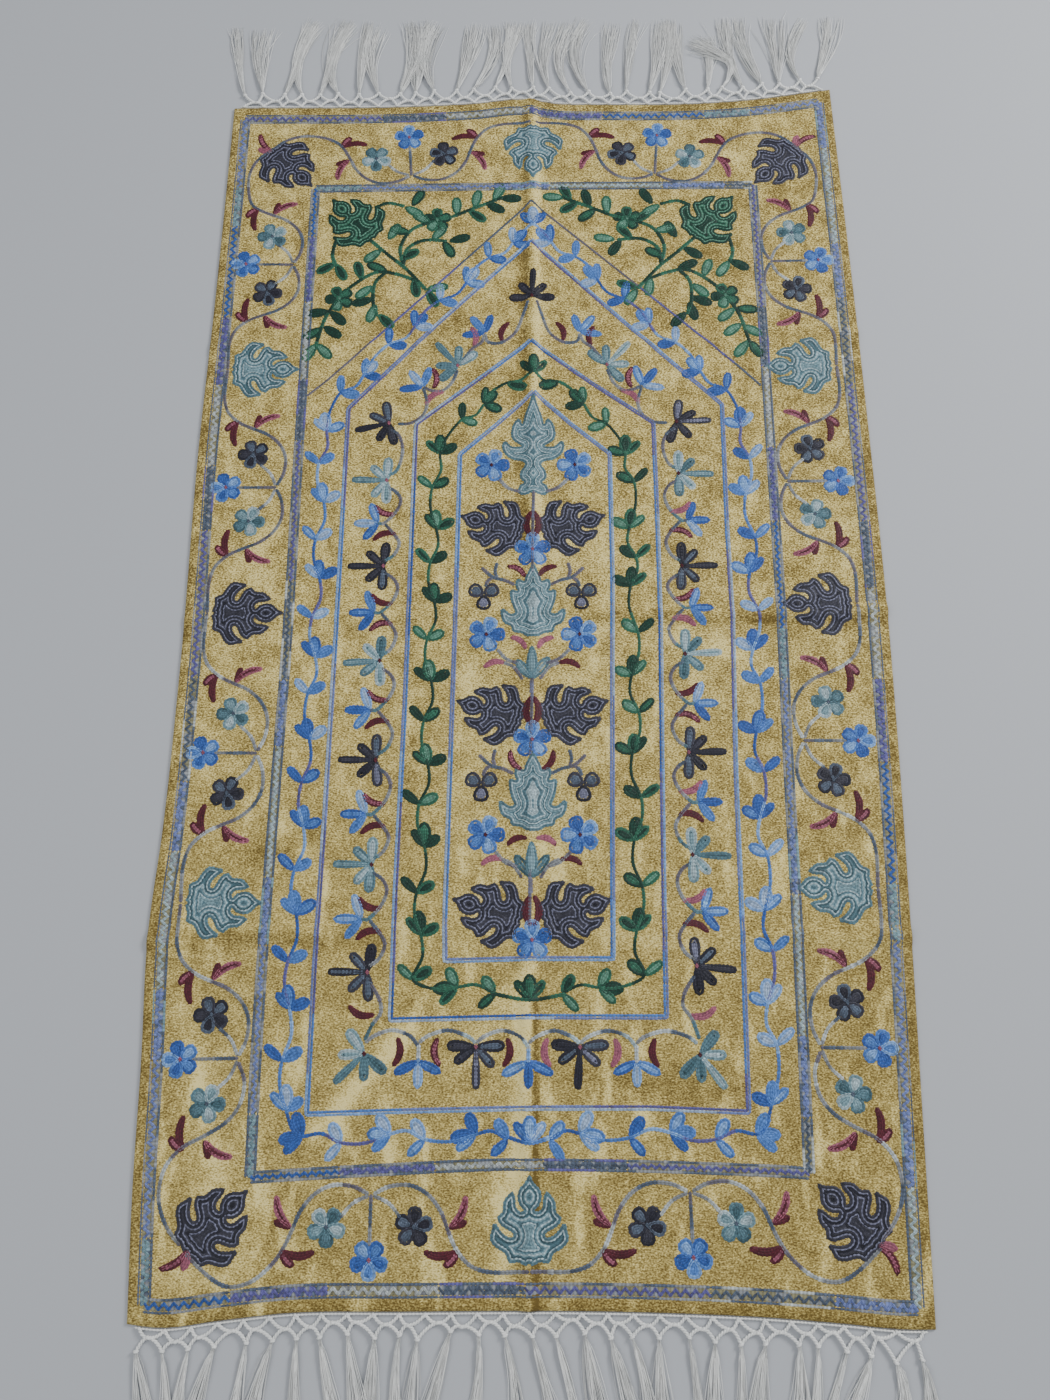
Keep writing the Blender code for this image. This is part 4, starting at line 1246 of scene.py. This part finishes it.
class Yarns:
    """Tubes that become one piece."""

    def __init__(self, name, seed):
        self.name = name
        self.random = np.random.default_rng(seed)
        self.points = []
        self.quads = []
        self.tones = []
        self.count = 0

    def tube(self, path, radius, sides=4, tone=1.0):
        """A tube along a path of 3-D points, nearly closed at its ends."""
        path = np.asarray(path, float)
        along = np.gradient(path, axis=0)
        along /= np.maximum(np.linalg.norm(along, axis=1), 1e-12)[:, None]
        up = np.where(np.abs(along[:, 2:3]) > 0.9, np.array([[1.0, 0, 0]]), np.array([[0, 0, 1.0]]))
        across = np.cross(along, up)
        across /= np.linalg.norm(across, axis=1)[:, None]
        upright = np.cross(across, along)
        radius = np.broadcast_to(radius, len(path)).astype(float).copy()
        radius[[0, -1]] *= 0.25
        turns = np.arange(sides) * 2 * math.pi / sides
        turns = turns[None, :, None]
        ring = across[:, None] * np.cos(turns) + upright[:, None] * np.sin(turns)
        self.points.append((path[:, None] + ring * radius[:, None, None]).reshape(-1, 3))
        n = len(path)
        self.tones.append(np.full(n * sides, tone))
        a = self.count + (np.arange(n - 1)[:, None] * sides + np.arange(sides)[None])
        b = self.count + (np.arange(n - 1)[:, None] * sides + (np.arange(sides)[None] + 1) % sides)
        self.quads.append(np.stack([a, b, b + sides, a + sides], 2).reshape(-1, 4))
        self.count += n * sides

    def cord(self, path, radius, twist):
        """Two strands twisted round each other along a path."""
        path = np.asarray(path, float)
        far = np.concatenate([[0], np.cumsum(np.linalg.norm(np.diff(path, axis=0), axis=1))])
        steps = max(int(far[-1] / twist * 5.5), 4)
        at = np.linspace(0, far[-1], steps + 1)
        centre = np.stack([np.interp(at, far, path[:, k]) for k in range(3)], 1)
        along = np.gradient(centre, axis=0)
        along /= np.linalg.norm(along, axis=1)[:, None]
        across = np.cross(along, (0, 0, 1.0))
        across /= np.linalg.norm(across, axis=1)[:, None]
        upright = np.cross(across, along)
        phase = at / twist * 2 * math.pi + self.random.uniform(0, 6)
        for turn in (0.0, math.pi):
            offset = across * np.cos(phase + turn)[:, None] + upright * np.sin(phase + turn)[:, None]
            self.tube(centre + offset * radius * 0.5, radius * 0.62, 4)

    def knot(self, at, radius):
        """A tight knot: two turns of the cord round the others."""
        turns = np.linspace(0, 3 * math.pi, 14)
        rise = np.linspace(-0.35, 0.35, 14) * radius
        x, y, z = at
        tilt = self.random.normal(0, 0.25)
        ring = np.stack([
            x + np.cos(turns) * radius,
            y + rise + np.cos(turns) * radius * tilt,
            z + np.sin(turns) * radius * 0.72,
        ], 1)
        self.tube(ring, radius * 0.52, 4)
        self.tube([(x, y - radius, z), (x, y, z), (x, y + radius, z)], radius * 0.8, 6)

    def finish(self, finish):
        """Make the piece."""
        points = np.vstack(self.points)
        points[:, 2] = np.maximum(points[:, 2], 0.00005)
        quads = np.vstack(self.quads)
        piece = bpy.data.objects.new(self.name, mesh_of_quads(self.name, points, quads))
        tone_layer = piece.data.attributes.new("tone", "FLOAT", "POINT")
        tone_layer.data.foreach_set("value", np.concatenate(self.tones))
        bpy.context.collection.objects.link(piece)
        piece.data.materials.append(finish)
        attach(piece, "root")
        return piece


def make_fringe(name, end, tassels, seed):
    """One whole fringe along one end of the cloth: end is 1 for far and -1 for near."""
    work = Yarns(name, seed)
    chance = work.random
    columns = (np.arange(COLUMNS) + 0.5) * PITCH - WIDTH / 2

    def hung(x, depth, z):
        return np.array((x, end_line(end, np.array([x]))[0] + end * (0.0004 + depth), z))

    header = [hung(x, 0.0013, 0.0013) for x in np.linspace(columns[0] - 0.004, columns[-1] + 0.004, 160)]
    work.cord(header, *HEADER_CORD)
    firsts = [
        hung(x + PITCH / 2 + chance.normal(0, 0.0024), FIRST_KNOTS + chance.normal(0, 0.0012), KNOT_HEIGHT)
        for x in columns[:-1]
    ]
    seconds = [
        hung(x + chance.normal(0, 0.0022), SECOND_KNOTS + chance.normal(0, 0.0016), KNOT_HEIGHT)
        for x in columns
    ]
    if end < 0:
        for k, drop in ((27, 0.003), (28, 0.006), (29, 0.008), (30, 0.004)):
            seconds[k][1] -= drop
    for k, x in enumerate(columns):
        root = hung(x, 0.0014, 0.0016)
        for j in (k - 1, k):
            if 0 <= j < len(firsts):
                knot = firsts[j]
                sag = np.array((0, end * 0.0021, 0))
                toward = root + (knot - root) * 0.5 + sag
                work.cord(curve3([root, toward, knot]), *NET_CORD)
                toward = knot + (seconds[k] - knot) * 0.5 - sag
                work.cord(curve3([knot, toward, seconds[k]]), *NET_CORD)
        work.knot(root, 0.0013)
        work.knot(seconds[k], 0.0018)
    for knot in firsts:
        work.knot(knot, 0.0016)
    for k, (bend, tip, longer) in enumerate(tassels):
        root = seconds[k]
        length = TIP_LEVEL + longer / 1000 - abs(root[1])
        t = np.linspace(0, 1, 10)
        if (name, k) in FOLDED_BACK:
            middle = walk(curve(FOLDED_BACK[(name, k)]), 3.0)[0] / 1000
            spots = np.linspace(0, len(middle) - 1, 10)
            middle = np.stack([np.interp(spots, np.arange(len(middle)), middle[:, c]) for c in (0, 1)], 1)
            middle[0] = root[:2]
            lift = 0.0016 * np.sin(np.clip(t * 1.5, 0, 1) * math.pi / 2)
        else:
            sway = bend * t * (1 - t) / 0.2275 + tip * t * (t - 0.35) / 0.65
            middle = np.stack([root[0] + sway / 1000, root[1] + end * length * t], 1)
            lift = np.zeros(10)
        _along, left = headings(middle)
        fan = chance.uniform(6.5, 12.0) / 1000 * (1.0 if end > 0 else 1.2)
        waves = chance.uniform(0, 6.3, 5)
        clumps = chance.normal(0, 0.55, (5, 3))
        for yarn in range(YARNS):
            clump = clumps[yarn % 5]
            u = clump[0] * 0.75 + chance.normal(0, 0.36)
            stray = chance.random() < 0.08
            wander = chance.normal(0, 0.010 if stray else 0.0016)
            phase, speed = chance.uniform(0, 6.3), chance.uniform(5, 9)
            sideways = (
                chance.normal(0, 0.0007) * (1 - t) + u * fan * t ** (0.75 + 0.25 * clump[1])
                + wander * t ** 2 + 0.0011 * t * np.sin(speed * t + phase + clump[2])
                + 0.0022 * t * np.sin(5.5 * t + waves[yarn % 5])
            )
            span = 1 + chance.normal(0, 0.035) - (0.12 * chance.random() if chance.random() < 0.2 else 0)
            body = middle[0] + (middle - middle[0]) * min(span, 1.035)
            height = 0.0017 * (1 - t) ** 3 + 0.0004
            height = height + chance.uniform(0, 0.0016) * (0.4 + 0.6 * (1 - t)) + lift
            path = np.column_stack([body + left * sideways[:, None], height])
            path[0] = root + np.array((chance.normal(0, 0.0007), 0, chance.normal(0, 0.0005)))
            work.tube(path, YARN_RADII, 3, chance.choice(YARN_TONES))
    return work


def curve3(points):
    """A smooth 3-D line through three points."""
    a, b, c = (np.array(p, float) for p in points)
    t = np.linspace(0, 1, 9)[:, None]
    return (1 - t) * (1 - 2 * t) * a + 4 * t * (1 - t) * b + t * (2 * t - 1) * c


yarn_finish, tree, shader = new_material("white_silk_yarn")
place = add_node(tree, "ShaderNodeTexCoord").outputs["Object"]
uneven = noise(tree, place, 70.0, 2.0)
yarn_colour = ramp(tree, uneven, ((0.25, rgba(228, 230, 228)), (0.75, rgba(247, 247, 244))))
yarn_tone = add_node(tree, "ShaderNodeAttribute", attribute_name="tone").outputs["Fac"]
toned = add_node(tree, "ShaderNodeHueSaturation", {"Color": yarn_colour, "Value": yarn_tone})
set_inputs(shader, {
    "Base Color": toned.outputs["Color"],
    "Roughness": 0.30,
    "Specular IOR Level": 0.8,
    "Sheen Weight": 0.35,
    "Sheen Roughness": 0.4,
})
far_fringe = make_fringe("far_fringe_yarns", 1, FAR_TASSELS, 21).finish(yarn_finish)
near_fringe = make_fringe("near_fringe_yarns", -1, NEAR_TASSELS, 22).finish(yarn_finish)
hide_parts("fringe_far")
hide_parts("fringe_near")

# The studio: a pale floor under the rug, soft light from large panels, and the camera
# held above the near end of the rug as in the photograph.
bpy.ops.object.select_all(action="DESELECT")
bpy.ops.mesh.primitive_plane_add(size=12.0, location=(0, 0, -0.0004))
floor = bpy.context.object
floor.name = "pale_floor"
floor_finish, tree, shader = new_material("pale_floor")
set_inputs(shader, {"Base Color": rgba(182, 185, 190), "Roughness": 0.8})
floor.data.materials.append(floor_finish)
# Columns: name, power, size, place; both face the middle of the rug
for name, power, size, place in (
    ("window_panel", 62.0, 0.8, (2.0, 1.1, 1.6)),
    ("room_panel", 22.0, 2.4, (-1.5, -0.6, 2.2)),
):
    lamp = bpy.data.lights.new(name, "AREA")
    lamp.energy = power
    lamp.size = size
    lamp_object = bpy.data.objects.new(name, lamp)
    lamp_object.location = place
    direction = -np.array(place)
    lamp_object.rotation_euler = (
        math.atan2(math.hypot(direction[0], direction[1]), -direction[2]),
        0.0,
        math.atan2(direction[0], -direction[1]) + math.pi,
    )
    bpy.context.collection.objects.link(lamp_object)
world = bpy.data.worlds.new("soft_room")
world.use_nodes = True
set_inputs(world.node_tree.nodes["Background"], {"Color": (0.93, 0.96, 1.0, 1.0), "Strength": 0.50})
bpy.context.scene.world = world

camera_data = bpy.data.cameras.new("photo_camera")
camera_data.lens = 30.78
camera = bpy.data.objects.new("photo_camera", camera_data)
camera.location = (0.0137, -0.3946, 1.0664)
camera.rotation_euler = (math.radians(16.63), math.radians(0.95), math.radians(0.17))
bpy.context.collection.objects.link(camera)
bpy.context.scene.camera = camera
